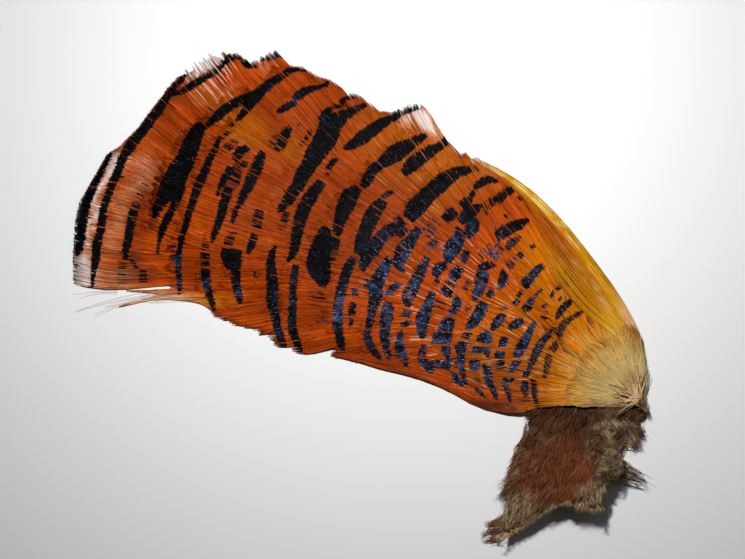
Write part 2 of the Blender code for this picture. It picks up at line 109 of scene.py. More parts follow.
# Each dark bar: the share of the barbs that it marks, and a line along its middle as x, y and
# width. It marks all the feathers that the line crosses.
TRACED_BARS = (
    (1, (113, 148, 5), (108, 157, 8), (103, 166, 9), (98, 176, 10), (91, 190, 11), (86.5, 200, 12),
     (83.5, 210, 13), (81.5, 220, 13), (80, 230, 13), (79, 240, 12), (77.5, 250, 10), (75.5, 256, 6)),
    (0.9, (76.5, 264, 4), (76, 267, 4)), (0.6, (74.5, 276, 2.2), (74.5, 282, 2.6)),
    (0.7, (75, 285, 3), (76, 290, 4)),
    (1, (188, 70, 4), (181, 80, 5), (172.5, 90, 6.5), (165, 100, 7.5), (159, 110, 8.5), (151, 120, 9),
     (144, 130, 10), (136, 140, 10.5), (128.5, 150, 10.5), (123, 160, 9), (119.5, 170, 8.5), (115, 180, 8),
     (111, 190, 7.5), (107, 200, 7.5), (104.5, 210, 7.8), (103, 220, 8), (101.5, 230, 7.5), (98, 240, 9),
     (96.5, 250, 8.5), (96, 260, 8), (94, 270, 6), (92.7, 280, 4.5), (92.5, 288, 3)),
    (0.9, (172, 95, 4), (181, 92.5, 5), (190, 87, 7), (200, 80.5, 7.5), (210, 74, 7.5), (217, 70, 5),
     (224, 65, 4)),
    (1, (222, 64, 6), (227, 59, 9), (233, 56, 8)), (0.9, (234, 56, 4), (241, 57, 6), (247, 60, 5)),
    (1, (242, 65, 6), (248, 65, 8), (255, 65, 5)), (1, (254, 59, 5), (264, 57, 7)),
    (1, (264, 58, 6), (270, 56, 9), (275, 53, 10), (281, 54, 7)),
    (0.45, (168, 104, 5), (173, 106, 5), (176, 109, 3)), (0.35, (166, 98, 8), (172, 101, 8)),
    (0.25, (147, 182, 5), (141, 196, 8)), (0.6, (138, 202, 8), (136, 208, 9)),
    (1, (135, 210, 9), (133.5, 217, 10), (131.5, 225, 9), (129.5, 235, 8.5), (127.5, 245, 8.5),
     (125.5, 253, 6), (125.5, 260, 5)),
    (0.8, (129, 256, 3), (133, 262, 4), (137, 269, 4)), (0.6, (143, 270, 7), (143, 277, 8), (144, 283, 8)),
    (0.35, (123, 262, 7), (122, 275, 8), (122, 285, 9)),
    (1, (203, 124, 6), (200, 128, 12), (196.5, 135, 15), (194, 142, 16), (190.5, 150, 17.5),
     (187, 160, 18.5), (181, 170, 21), (176.5, 180, 22), (171, 190, 20), (165, 198, 14), (160.5, 206, 11.5),
     (156.5, 213, 8), (154.5, 220, 3.5)),
    (1, (184, 186, 8), (179.5, 196, 9.5), (176, 205, 8.5), (171, 215, 8), (165.5, 225, 8), (161.5, 235, 6),
     (159, 245, 4), (157.5, 255, 2.5)),
    (1, (221, 136, 4), (219, 142, 5), (216, 150, 6), (211, 160, 7), (207, 170, 8), (203, 180, 9),
     (199, 190, 9), (195.5, 198, 8), (193.5, 206, 7.5), (190.5, 215, 7), (187.5, 225, 6.5), (184, 235, 6),
     (181.5, 245, 5.5), (179.5, 255, 6), (178, 265, 6.5), (178.5, 275, 6.5), (179.5, 285, 5),
     (179, 295, 3.5)),
    (0.5, (174, 243, 5), (174.5, 252, 6), (175, 262, 6)),
    (1, (258, 92, 6), (246, 98, 9), (236, 103, 10), (226, 109, 10), (219, 116, 10), (213, 122, 7),
     (206, 128, 5), (202, 131, 3)),
    (1, (306, 70.5, 3), (297, 69.5, 4.5), (289, 71.5, 6), (282, 76.5, 8), (272, 82.5, 9), (263, 90, 10),
     (255, 98, 11), (250, 105, 10), (245, 112, 8), (240, 118, 6), (236, 122, 3)),
    (0.8, (234, 125, 4), (230, 128, 5)), (0.55, (232, 131, 4), (226, 136, 5), (222, 140, 5)),
    (0.45, (236, 141, 7), (229, 148, 9), (224, 153, 6)), (0.5, (213, 111, 3), (206, 108, 3)),
    (0.5, (207, 118, 4), (202, 123, 4)),
    (1, (328, 84, 4), (320, 87, 4.5), (312, 89, 6), (304, 92.5, 8), (298, 96, 9), (294, 101, 6)),
    (1, (297, 104, 4), (293, 104.5, 6), (287, 107.5, 7), (281, 111, 6.5), (277, 114, 3.5)),
    (1, (329, 82, 4), (325, 86, 5)), (1, (249, 148, 6), (243, 151, 9), (238, 157, 10), (235, 162, 6)),
    (0.9, (247, 163, 5), (243, 168, 6)),
    (0.6, (240, 164, 6), (237, 172, 11), (235, 182, 13), (231, 190, 11)),
    (1, (232, 168, 6), (228, 176, 7), (224, 183, 7), (220, 191, 3.5), (218, 198, 3)),
    (1, (230, 188, 9), (228, 195, 10), (226.5, 201, 9.5), (224, 210, 9), (221.5, 219, 8.5), (218.5, 228, 7),
     (215, 236, 5.5), (213, 244, 4)),
    (1, (264, 153, 6), (261.5, 160, 10), (258, 168, 12), (254, 177, 12), (250, 186, 10.5), (246, 194, 9),
     (242.5, 202, 7), (238.5, 209, 5.5), (235.5, 216, 5.5), (233, 225, 3)),
    (0.6, (302, 125, 3), (297, 126, 4)),
    (0.85, (291, 128, 6), (287, 134, 9), (284, 140, 10), (282, 146, 9), (277, 152, 6)),
    (0.5, (280, 137, 8), (274, 142, 8), (271, 148, 4)), (0.9, (312, 131, 4), (309, 135, 5)),
    (0.9, (308, 137, 5), (305, 141, 4)), (0.9, (304, 143, 4), (301, 147, 4)),
    (0.5, (236, 233, 5), (231, 240, 9), (229, 246, 9)),
    (1, (237, 250, 12), (236.5, 260, 11), (236.5, 270, 10), (236.5, 280, 9.5), (237.5, 290, 8.5),
     (239.5, 298, 7), (240.5, 304, 4)),
    (1, (227, 249, 8), (227, 257, 9), (228, 264, 8), (229, 270, 4)),
    (0.6, (207, 240, 7), (206, 255, 9), (205.5, 267, 9)),
    (1, (205.5, 269, 9), (206, 276, 9), (207.5, 286, 8.5), (209, 295, 7.5), (212, 303, 6), (213.5, 312, 4)),
    (0.6, (261, 212, 8), (259, 220, 10), (257, 230, 10)),
    (1, (256, 235, 6), (254.5, 241, 8), (252, 248, 7), (248.5, 255, 4)),
    (1, (276.5, 246, 3.5), (274, 252, 5.5), (272.5, 258, 7), (272, 266, 9), (272.5, 275, 11),
     (273.5, 285, 12.5), (273.5, 295, 12.5), (273, 305, 11), (275, 315, 9), (277, 325, 8), (279.5, 335, 8),
     (282.5, 344, 7), (285, 350, 4)),
    (1, (296.5, 265, 5), (295.5, 272, 7.5), (294.5, 282, 7.5), (293.5, 292, 7), (293.5, 302, 7.5),
     (293, 312, 8.5), (292, 322, 9), (293, 332, 9), (296, 341, 8), (299, 349, 6), (301, 354, 3)),
    (0.8, (255, 272, 3), (256, 279, 4)), (1, (366, 105, 4), (359, 108.5, 6), (352, 112, 8), (346, 116, 10)),
    (1, (342, 107, 4), (335, 107.5, 4), (329, 111, 6), (324, 117, 9), (320, 124, 8)),
    (0.6, (346, 104, 3), (343, 107, 3)),
    (1, (346, 113, 8), (341, 119, 14), (334, 124, 20), (329, 132, 22), (325, 141, 22), (320, 149, 20),
     (314, 158, 18), (309, 167, 15), (303, 177, 14), (299, 186, 13), (293, 195, 12), (288, 203, 11),
     (282, 210, 7), (279, 214, 3)),
    (0.9, (358, 97.5, 3), (350, 97.5, 4), (344, 100, 5), (340, 104, 5)),
    (0.9, (344, 104, 4), (349, 108.5, 4.5)), (0.5, (288, 212, 6), (285, 222, 7), (282, 233, 6)),
    (1, (323, 183, 8), (315, 193, 12), (308, 203, 13.5), (303.5, 213, 13.5), (300.5, 223, 12.5),
     (298.5, 232, 11), (296.5, 241, 10.5), (295, 250, 9.5), (292.5, 257, 6), (289, 263, 4)),
    (1, (338, 160, 3), (334, 163, 5.5), (329, 169, 6), (326, 172, 3)), (0.5, (331, 171, 5), (327, 177, 4)),
    (1, (399, 117.5, 4), (391, 119, 7), (382, 124.5, 11), (374, 130, 12.5), (366, 136, 13.5),
     (358, 142, 12.5), (350, 147.5, 9), (344, 150.5, 4)),
    (0.85, (427, 104.5, 5), (420, 106, 6), (413, 109, 6), (402, 113, 6.5), (393, 116.5, 6.5)),
    (0.5, (412, 128, 2), (416, 131, 2)),
    (1, (426, 135.5, 4), (418, 140, 9), (410, 145, 12.5), (402, 150, 15.5), (395, 155, 17), (388, 160, 14),
     (381, 165, 10), (374, 170, 10), (370, 176, 10.5), (366, 183, 10), (362, 189, 6)),
    (1, (446, 141, 8), (440, 147, 8), (432, 151, 10.5), (424, 156, 13.5), (416, 162, 14.5), (408, 169, 13),
     (403, 175, 8)),
    (0.9, (473, 159, 3.5), (467, 155.5, 4)), (0.7, (464, 156.5, 3), (458, 156.5, 3)),
    (0.6, (476, 170, 6), (471, 170, 7)),
    (1, (470, 170, 7), (465, 171, 8.5), (457, 173, 10.5), (450, 177, 13.5), (443, 182, 15.5),
     (436, 188, 16.5), (430, 194, 15.5), (424, 200, 16.5), (417, 207, 17.5), (411, 214, 16), (407, 221, 10)),
    (1, (358, 189, 9), (351, 196, 16), (346.5, 205, 17), (343, 213, 14.5), (340.5, 221, 12.5),
     (338, 229, 10.5), (336.5, 237, 8)),
    (1, (327, 228, 8), (325, 236, 14), (323, 244, 18), (321, 252, 20), (319.5, 260, 22), (319, 268, 23),
     (320, 275, 20), (322, 282, 14), (323, 287, 6)),
    (0.6, (336, 238, 9), (334, 250, 10), (332, 262, 7)),
    (0.45, (316, 290, 13), (317, 299, 16), (320, 306, 12)), (0.3, (322, 308, 16), (323, 322, 12)),
    (1, (384, 202, 8), (378, 208, 13.5), (373, 215, 15), (369, 223, 14.5), (366, 231, 13.5), (363, 239, 13),
     (360, 247, 12), (357, 255, 7)),
    (0.9, (393, 192.5, 4), (386.5, 196, 5), (382, 199, 4)),
    (1, (404, 224, 5), (396, 228, 11), (389, 232.5, 13), (382, 238, 12.5), (377, 244, 13), (372, 251, 14),
     (367, 259, 12), (363, 266, 9), (362, 272, 4)),
    (0.8, (406, 229, 5), (402, 234, 7), (398, 238, 5)), (0.8, (400, 219, 5), (394, 222, 5)),
    (1, (354, 258, 6), (352, 262, 9), (349, 267, 9.5), (346.5, 273, 9.5), (344.5, 280, 9.5),
     (342.5, 287, 9.5), (340.5, 295, 10), (338.5, 304, 9.5), (338, 314, 9.5), (338, 324, 9.5),
     (339, 334, 8.5), (341, 343, 8), (343, 351, 5)),
    (0.9, (354.5, 288, 6), (355, 296, 6)), (1, (353, 302, 6), (352.5, 309, 7), (352, 316, 6)),
    (0.9, (352, 319, 4), (350.5, 327, 4)),
    (1, (389, 259, 7), (385, 267, 11), (381, 274, 12), (377, 282, 13), (375, 291, 14), (375, 299, 13),
     (372.5, 307, 9.5), (371, 316, 7.5), (369, 325, 6.5), (367, 333, 7), (368, 341, 7.5), (371.5, 348, 8),
     (376, 355, 7), (380, 360, 4)),
    (0.8, (368, 280, 5), (366, 289, 5)),
    (1, (418, 229, 6), (414, 236, 9.5), (409, 243, 12), (404, 250, 14.5), (400, 257, 14), (397, 265, 11),
     (400, 273, 5)),
    (1, (399, 284, 6), (392, 289, 7), (387, 296, 6)),
    (1, (388, 301, 6), (388, 307, 10.5), (387, 315, 12.5), (385, 323, 11.5), (384.5, 331, 10),
     (384.5, 339, 8.5), (385.5, 347, 7), (388, 355, 6.5), (389, 361, 3)),
    (1, (426.5, 258, 6), (423, 266, 9.5), (419.5, 273, 10.5), (416, 280, 11), (412.5, 287, 12.5),
     (408.5, 295, 13), (406, 302, 10), (406, 307, 5)),
    (1, (407, 310.5, 9), (405, 317, 9)), (1, (406, 321, 8), (404, 326.5, 8)),
    (1, (401, 330, 3), (399, 337, 6.5), (399, 344, 8.5), (400.5, 351, 10), (403, 358, 9.5), (406, 366, 4)),
    (1, (432, 292, 5), (429, 300, 9), (426.5, 306, 10.5), (424, 313, 13), (421.5, 320, 13.5), (421, 327, 12),
     (421, 333, 9), (422, 339, 4)),
    (1, (424, 344, 4), (421.5, 351, 6.5), (421, 357, 7.5), (425, 363, 10), (428, 369, 8.5), (431, 374, 3)),
    (0.9, (436, 359, 9), (434, 368, 10)), (1, (454, 211, 7), (449, 216, 12.5), (443, 222, 9)),
    (1, (471, 200, 4), (465, 203, 9), (460, 207, 7)),
    (1, (481, 206, 4), (476, 209, 8.5), (469, 213, 13), (464, 219, 12.5), (459, 224, 7)),
    (1, (477, 221, 6), (473, 227, 12.5), (469, 232, 12.5), (464, 238, 8)),
    (1, (459, 229, 6), (459, 236, 11), (456, 242, 14.5), (452, 248, 15.5), (447, 255, 13.5), (445, 262, 8)),
    (0.9, (466, 251, 6), (463, 258, 8.5), (461, 264, 5)),
    (0.5, (436, 222, 10), (430, 230, 12), (424, 237, 10)),
    (0.5, (437, 240, 7), (431, 246, 8), (425, 250, 7)), (0.5, (455, 214, 3), (457, 222, 5)),
    (1, (474, 193, 5), (469, 198, 5)),
    (1, (497, 182, 4), (490, 180.5, 7), (484, 182, 9), (477, 185.5, 8), (473, 189, 4)),
    (1, (512, 190, 6), (505, 193, 8.5), (499, 199, 9), (494, 202, 8)),
    (0.6, (493, 201, 9), (486, 206, 9), (480, 211, 5)), (0.8, (521, 199, 4), (514, 201, 5)),
    (0.7, (486, 213, 3), (483, 217, 4)), (0.5, (508, 214, 3), (504, 218, 4)),
    (1, (528, 220, 4), (522, 223, 8.5), (515, 226, 11), (508, 229.5, 12), (501, 233.5, 13), (495, 239, 9)),
    (0.8, (519, 237, 4), (514, 241, 7.5), (508, 246, 8.5), (505, 251, 4)),
    (0.55, (500, 246, 10), (496, 252, 12), (490, 258, 12)),
    (0.5, (490, 247, 8), (484, 253, 10), (479, 258, 8)), (0.9, (534, 245, 4), (529, 248.5, 5)),
    (1, (521, 254, 6.5), (517, 258, 7)), (0.6, (514, 258, 5), (509, 264, 8), (506, 268, 8)),
    (0.6, (514, 263, 4), (510, 268, 4)), (1, (492, 264, 7), (484, 267, 9), (479, 270, 9)),
    (1, (483, 271, 12), (481, 277, 14), (479, 283, 13.5), (477, 289, 11), (475, 295, 9.5), (472, 301, 5)),
    (1, (504, 272, 8), (502, 279, 10.5), (499, 285, 8.5), (496, 290, 4)),
    (1, (491, 288, 4), (489, 293, 7.5), (486, 298, 6)), (1, (459, 268, 8), (454, 275, 12), (451, 281, 10)),
    (0.8, (450, 283, 12), (448, 286, 12)), (1, (447, 288, 12), (444, 296, 11)),
    (1, (446, 263, 4), (440, 267, 10), (435, 273, 10), (434, 278, 6)), (0.8, (437, 280, 6), (434, 285, 6)),
    (0.5, (441, 299, 10), (437, 309, 12)), (0.55, (467, 282, 6), (463, 291, 6)),
    (1, (457, 298, 7), (455, 305, 9.5), (452, 311, 9.5), (449, 316, 4)),
    (1, (449, 317, 9.5), (447, 323, 13.5), (444, 330, 15), (441, 337, 19), (440, 344, 19)),
    (1, (445, 346, 10), (445, 352, 9), (448, 358, 4)), (0.95, (449, 358, 10), (444, 369, 10)),
    (0.5, (457, 361, 6), (454, 368, 6)), (1, (453, 372, 5), (456, 379, 7), (461, 386, 5)),
    (1, (483, 303, 9), (480, 309, 12.5), (475.5, 317, 13), (470.5, 324, 11), (466, 330, 6)),
    (0.5, (468, 306, 6), (464, 312, 6)), (1, (502, 314, 7), (497, 320, 11), (493, 326, 8.5), (490, 331, 4)),
    (1, (487, 331, 7), (484, 337, 15.5), (482, 343, 17.5)), (1, (486, 346, 8), (485, 351, 8), (486, 357, 3)),
    (1, (477, 346.5, 11), (475, 353.5, 11)), (1, (466, 333, 9), (464, 338.5, 9)),
    (1, (504, 336, 8), (502.5, 341, 9.5), (499, 347, 7)), (1, (499.5, 350.5, 11), (497.5, 358, 11)),
    (0.8, (500, 359.5, 9), (498, 366, 9)), (0.6, (499, 367, 8), (497, 372, 8)),
    (1, (462, 341, 9), (460, 347, 12.5), (460, 354, 9.5), (460.5, 362, 7.5), (461.5, 370, 6.5),
     (463, 377, 5.5), (465, 385, 4)),
    (1, (474, 359.5, 12), (474, 365, 11), (473, 371, 7)), (0.4, (477, 377, 10), (476, 383, 9)),
    (0.9, (476, 387, 4), (480, 393, 5.5), (484, 398, 3)),
    (1, (484, 364, 5), (486, 370, 9.5), (487, 376, 9.5), (488.5, 382, 8.5), (491.5, 388, 7.5),
     (494.5, 394, 6.5), (496, 400, 4)),
    (0.9, (508, 377, 13), (506, 383, 12)),
    (1, (504, 384, 7), (506.5, 390, 7.5), (508, 395, 6.5), (509, 402, 4)),
    (1, (523.5, 380, 7), (524, 386, 8.5), (524.5, 392, 8.5), (525, 397, 4)),
    (1, (531, 378, 5), (533, 384, 5.5), (533, 390, 7), (534.5, 396, 7), (536, 404, 5)),
    (1, (520, 318, 6), (517, 322, 10.5), (512, 326, 9.5), (507, 329, 4)),
    (1, (517, 300, 6), (512, 305, 6.5)), (0.8, (505, 307, 4), (500, 310, 4)),
    (0.8, (521, 291, 5), (516, 297, 5)),
    (0.8, (541, 289, 3), (535, 295, 4.5), (530, 300, 6.5), (527, 306, 10), (522, 311, 8)),
    (1, (543, 265.5, 6), (539, 267.5, 8.5), (535, 272, 9), (530, 277, 10), (525, 282, 12), (522, 288, 9)),
    (1, (534, 322, 5), (529, 329, 7.5), (526, 336, 10.5), (522, 343, 12.5), (518, 350, 12.5), (515, 357, 8)),
    (0.9, (516, 360, 9), (512, 367, 8.5), (509, 374, 4)),
    (1, (550.5, 330, 4), (547, 335, 7), (541, 341, 10), (537, 347, 11), (535, 353, 9.5), (532, 359, 8.5),
     (529, 365, 7), (527, 371, 7), (523, 377, 6)),
    (0.85, (559, 339, 4), (554.5, 345, 8.5), (550, 351, 8.5)),
    (0.9, (548, 354, 8), (546.5, 359, 9), (546, 364, 7.5), (545, 371, 6.5), (543, 378, 4)),
    (1, (571.5, 300, 4), (566, 304, 8.5), (561, 309, 8.5), (557, 315, 7), (555, 320, 3)),
    (0.6, (561, 297, 4), (557, 301, 4)),
    (1, (583, 310.5, 4), (576, 315, 6), (569, 319, 6.5), (563, 323.5, 8.5), (560, 329, 8), (558, 336, 5)),
    (0.8, (570, 280.5, 4), (563, 284.5, 5), (557, 288, 6), (553, 289, 3)),
    (0.4, (581, 277, 3), (574, 279, 3.5)), (0.9, (553, 292, 5), (549, 298, 4)),
    (0.8, (546, 304, 5), (541, 308, 4)), (0.5, (545, 311, 5), (539, 319, 6)),
    (0.4, (553, 324, 6), (549, 330, 5)),
    (0.5, (602, 336.5, 4), (594, 341.5, 4.5), (588, 346, 4.5), (584, 351, 4)),
    (0.25, (592, 327, 4), (583, 334, 5)), (0.35, (577, 350, 6), (572, 358, 6)),
    (0.3, (576, 366, 9), (574, 376, 10)), (0.3, (566, 384, 8), (564, 396, 8)),
    (0.3, (583, 354, 7), (579, 363, 7)), (0.35, (585, 293, 3), (578, 297, 4)),
    (0.3, (585, 275, 3), (577, 278, 4)),
)
BARS = [(share, traced(*line)) for share, *line in TRACED_BARS]

# The cape seen from above: no barb reaches past it
CAPE_OUTLINE = traced(
    (73, 287), (74.5, 260), (78.5, 220), (83.5, 200), (99, 173), (110.5, 153), (122, 146), (140, 127),
    (160, 99), (175, 79), (182, 72), (188, 62), (205, 53), (222, 51), (228, 54), (237, 52), (244, 57),
    (250, 62), (262, 56), (275, 50), (290, 66), (303, 67), (320, 78), (330, 80), (348, 93), (360, 96),
    (368, 103), (380, 112), (392, 113), (400, 109), (418, 103), (426, 109), (447, 142), (460, 155),
    (468, 153), (480, 161), (500, 171), (520, 184), (540, 199), (560, 220), (580, 241), (600, 269),
    (620, 297), (633, 317), (641, 340), (647, 372), (646, 395), (640, 409), (625, 409), (600, 407),
    (565, 406), (540, 406), (520, 414), (486, 411), (470, 405), (460, 397), (440, 387), (420, 379),
    (380, 369), (345, 358), (303, 354), (285, 349), (262, 341), (258, 329), (240, 326), (215, 316),
    (205, 304), (178, 290), (150, 288), (120, 288), (78, 288),
)

# The part of that outline that hangs down to the paper
LOWER_EDGE = traced(
    (160, 291), (205, 304), (240, 326), (262, 341), (303, 354), (345, 358), (380, 369), (420, 379),
    (460, 397), (490, 411),
)

# The face feathers seen from above: no tip reaches past it
FACE_OUTLINE = traced(
    (521, 398), (524, 415), (528, 430), (524, 442), (514, 447), (519, 456), (509, 461), (512, 472),
    (504, 481), (508, 486), (498, 488), (497, 500), (493, 512), (497, 519), (485, 526), (496, 529),
    (478, 538), (497, 533), (512, 526), (529, 520), (541, 511), (551, 504), (562, 500), (575, 504),
    (597, 506), (604, 498), (602, 485), (612, 480), (620, 474), (622, 462), (620, 455), (628, 450),
    (641, 444), (647, 433), (644, 425), (648, 414), (642, 400), (600, 396),
)

# The crest's outer edge from its tips to the crown
CREST_EDGE = traced(
    (470, 157), (480, 161), (500, 171), (520, 184), (540, 199), (560, 220), (580, 241), (600, 269),
    (620, 297), (633, 317), (641, 340), (645, 360), (643, 380), (636, 396),
)

# The flap's cut edge, from its low tip
CUT_EDGE = traced(
    (496, 539), (505, 535), (515, 529), (523, 524), (530, 518.5), (537, 514), (543, 510.5), (548, 506),
    (553, 503), (558, 500.5), (564, 500), (570, 502), (577, 505), (584, 504.5), (591, 506), (599, 505),
)

# The cape's lower edge by the crown and at the far left: for each, its barbs and a line along
# it, as x, y and how far in they reach
TRACED_BANDS = (
    (900, (330, 355, 3), (360, 362, 8), (380, 368, 12), (405, 374, 18), (420, 378.5, 22), (440, 386, 26),
     (458, 395.5, 30), (468, 402, 32), (486, 409.5, 30), (505, 413, 22), (520, 413, 14), (535, 407, 6)),
    (230, (118, 307, 1), (145, 300.5, 1.5), (160, 299, 3), (175, 299.5, 6), (190, 301, 9), (203, 304, 9),
     (222, 316, 9)),
)
EDGE_BANDS = [(count, traced(*line)) for count, *line in TRACED_BANDS]

# Soft patches of tint, each an oval: x, y, half length, half width, bearing and strength. A
# tint is full within ZONE_CORE of its oval's size, and gone at ZONE_RIM.
TRACED_ZONES = {
    "pale": (
        (97, 205, 64, 6, -76, 1), (116, 162, 24, 7, -60, 1), (82, 274, 26, 16, -85, 1),
        (138, 177, 26, 8, -62, 0.72), (116, 226, 44, 8, -73, 0.66), (108, 276, 24, 9, 0, 0.5),
        (110, 286, 34, 2.5, 0, 0.7), (160, 287, 26, 2, 0, 0.5), (200, 66, 24, 9, -35, 1),
        (424, 122, 22, 8, 52, 1), (405, 118, 12, 5, 30, 0.9), (255, 65, 14, 3, 0, 0.5),
        (262, 63, 10, 4, 50, 0.6), (152, 299, 50, 9, 0, 0.75),
    ),
    "gold": (
        (248, 132, 26, 18, 20, 0.4), (294, 152, 13, 13, 0, 0.5), (232, 112, 16, 14, 20, 0.3),
        (215, 100, 26, 12, 30, 0.25), (570, 285, 70, 40, 45, 0.7), (510, 335, 50, 60, 30, 0.35),
        (435, 210, 8, 7, 0, 0.7), (430, 150, 80, 50, 20, 0.3), (575, 315, 22, 18, 0, 0.8),
        (142, 289, 24, 4, 0, 0.5), (175, 302, 55, 10, 0, 0.7),
    ),
    "deep": (
        (320, 225, 120, 80, 0, 0.35), (300, 110, 100, 50, -20, 0.25), (205, 145, 60, 60, 0, 0.3),
        (150, 190, 30, 13, -64, 1), (143, 222, 24, 9, -72, 0.9), (130, 258, 26, 9, -80, 0.4),
        (318, 309, 24, 16, -70, 0.6), (350, 355, 60, 12, 10, 0.5), (235, 175, 26, 12, -65, 0.55),
        (254, 222, 14, 11, -65, 0.5), (200, 270, 30, 16, 5, 0.45), (270, 300, 24, 20, 5, 0.45),
        (240, 250, 34, 20, 10, 0.4), (165, 113, 14, 12, -45, 0.6), (175, 93, 12, 10, 45, 0.5),
    ),
    # Painted blue sheen on the dark bars
    "blue": (
        (455, 315, 105, 90, 20, 0.75), (178, 272, 22, 8, -75, 0.8), (284, 310, 40, 14, -72, 0.45),
        (300, 105, 34, 10, 30, 0.3), (238, 293, 14, 8, -75, 0.7), (206, 285, 10, 6, 0, 0.6),
        (339, 305, 28, 10, -70, 1), (388, 282, 30, 14, -65, 1), (410, 292, 20, 12, -65, 1),
        (422, 328, 10, 9, 0, 1), (444, 340, 10, 11, 0, 1), (483, 282, 14, 10, -60, 1),
        (486, 342, 14, 8, -65, 1), (460, 358, 8, 9, 0, 1), (473, 366, 8, 6, 0, 1),
    ),
    # Painted highlight: thin glints on the barbs and pale flecks on the bars
    "glint": (
        (480, 320, 115, 75, 25, 1), (540, 370, 50, 30, 10, 1), (300, 200, 160, 90, 20, 0.08),
        (410, 190, 60, 40, 30, 0.3),
    ),
    # Dull brown barbs; the thin ovals at (530, 402), (496, 408) and (425, 382) are painted shade along the
    # cape's lower edge
    "dusk": (
        (500, 365, 60, 30, 10, 0.3), (370, 180, 160, 100, 0, 0.28), (175, 93, 12, 10, 45, 0.4),
        (530, 402, 36, 5, 0, 0.7), (122, 274, 16, 7, -85, 0.9), (143, 276, 11, 5, -85, 1),
        (134, 258, 10, 6, -60, 0.6), (150, 184, 24, 5, -64, 0.6), (496, 408, 34, 7, 12, 1),
        (425, 382, 50, 4, 22, 0.7),
    ),
    "amber": (
        (550, 235, 50, 12, 48, 1), (592, 290, 40, 12, 60, 0.6),
    ),
    # Painted highlight streaks on the crest
    "crest_highlight": (
        (592, 285, 44, 7, 58, 0.8), (555, 222, 24, 3, 48, 1),
    ),
    "outer": (
        (632, 324, 28, 8, 66, 1), (640, 350, 34, 10, 80, 1),
    ),
    "crown_brown": (
        (630, 322, 20, 8, 65, 0.8), (628, 378, 8, 10, 0, 0.5), (633, 399, 9, 8, 0, 0.8),
        (603, 343, 16, 4, 45, 0.4),
    ),
    "quills": ((634, 397, 14, 8, 90, 0.9),),
    "thin": (
        (84, 277, 24, 14, -80, 0.08), (200, 64, 26, 10, -35, 0.4), (425, 125, 26, 14, 40, 0.06),
        (255, 56, 30, 8, 0, 0.12),
    ),
    "rust": ((556, 470, 44, 36, 0, 0.85),),
    "tan": (
        (510, 512, 30, 16, -45, 0.75), (592, 491, 20, 12, 0, 0.8), (612, 424, 14, 5, 0, 0.7),
        (604, 462, 12, 6, 0, 0.5), (630, 440, 12, 4, 20, 0.6), (626, 466, 16, 6, -20, 0.6),
        (530, 515, 30, 14, -20, 0.3),
    ),
    "olive": (
        (618, 450, 40, 34, 90, 0.75), (535, 440, 34, 14, 90, 0.2),
    ),
    "messy": ((620, 450, 44, 34, 90, 1),),
}
ZONES = {
    name: [(*traced(oval[:4])[0], *oval[4:]) for oval in ovals] for name, ovals in TRACED_ZONES.items()
}
ZONE_CORE, ZONE_RIM = 0.6, 1.25


def linear(red, green, blue):
    """A colour's linear values from its 8-bit screen values."""
    shares = [value / 255.0 for value in (red, green, blue)]
    return tuple(
        share / 12.92 if share <= 0.04045 else ((share + 0.055) / 1.055) ** 2.4
        for share in shares
    )


# Where each kind of piece starts its random draws
SEEDS = {
    "tippet": 100,
    "crest_feather": 300,
    "crown_feather": 400,
    "crown_tuft": 410,
    "quills": 420,
    "face_down": 500,
    "face_locks": 510,
    "cut_edge": 530,
    "stray_barbs": 600,
    "edge_barbs": 610,
    "mantle": 700,
}


def seeded(kind, index=0):
    """Random draws that are the same each time, for one piece of a kind."""
    return np.random.default_rng(SEEDS[kind] + index)


def even(count):
    """Numbers evenly spread from 0 to 1."""
    return np.linspace(0.0, 1.0, count)


def arch(share):
    """0 at both ends of a strand and 1 in its middle."""
    return np.sin(math.pi * share)


def smooth_step(low, high, value):
    """0 below low and 1 above high, with an even S between."""
    share = np.clip((value - low) / (high - low), 0.0, 1.0)
    return share * share * (3.0 - 2.0 * share)


def taper(point, reach, value):
    """A width's share: it grows from point at the tip to 1 at reach."""
    return point + (1.0 - point) * smooth_step(0.0, reach, value)


def pointing(degrees):
    """The plan direction of each heading: 0 is -X, and a positive heading swings towards +Y."""
    turn = np.radians(degrees)
    return np.stack((-np.cos(turn), np.sin(turn)), axis=-1)


def unit(vectors):
    """The vectors at length one."""
    return vectors / np.maximum(np.linalg.norm(vectors, axis=-1, keepdims=True), 1e-9)


def left_of(ways):
    """The plan directions turned a quarter to the left."""
    return np.stack((-ways[..., 1], ways[..., 0]), axis=-1)


def crossed(first, second):
    """The cross product of plan vectors."""
    return first[..., 0] * second[..., 1] - first[..., 1] * second[..., 0]


def distances(points):
    """How far each point of a line, or of many lines, is from the first along it."""
    steps = np.linalg.norm(np.diff(points, axis=-2), axis=-1)
    return np.concatenate((np.zeros((*steps.shape[:-1], 1)), np.cumsum(steps, axis=-1)), axis=-1)


def places_along(line, lengths, at):
    """The plan places at some lengths along a line."""
    return np.stack([np.interp(at, lengths, line[:, axis]) for axis in (0, 1)], axis=-1)


def bent_paths(tips, bends, roots, share):
    """Plan paths from tips to roots, which curve towards their bends."""
    back = share[:, None]
    return tips[:, None] * (1 - back) ** 2 + bends[:, None] * 2 * back * (1 - back) + roots[:, None] * back**2


def wavering(random, size, count, share, waves):
    """A slow wave along each of many strands."""
    return random.normal(0.0, size, (count, 1)) * np.sin(share * waves + random.uniform(0, 6, (count, 1)))


def inside_outline(places, outline):
    """Whether each place lies inside an outline."""
    ring = np.array(outline)
    following = np.roll(ring, -1, axis=0)
    x, y = places[..., 0, None], places[..., 1, None]
    straddles = (ring[:, 1] > y) != (following[:, 1] > y)
    rise = np.where(following[:, 1] == ring[:, 1], 1e-9, following[:, 1] - ring[:, 1])
    crossing = ring[:, 0] + (y - ring[:, 1]) / rise * (following[:, 0] - ring[:, 0])
    return (straddles & (x < crossing)).sum(axis=-1) % 2 == 1


def clumps_of(count, random, least=3, most=9):
    """Barbs cling together in clumps: the clump of each barb."""
    sizes = random.integers(least, most + 1, count)
    return np.searchsorted(np.cumsum(sizes), np.arange(count), side="right")


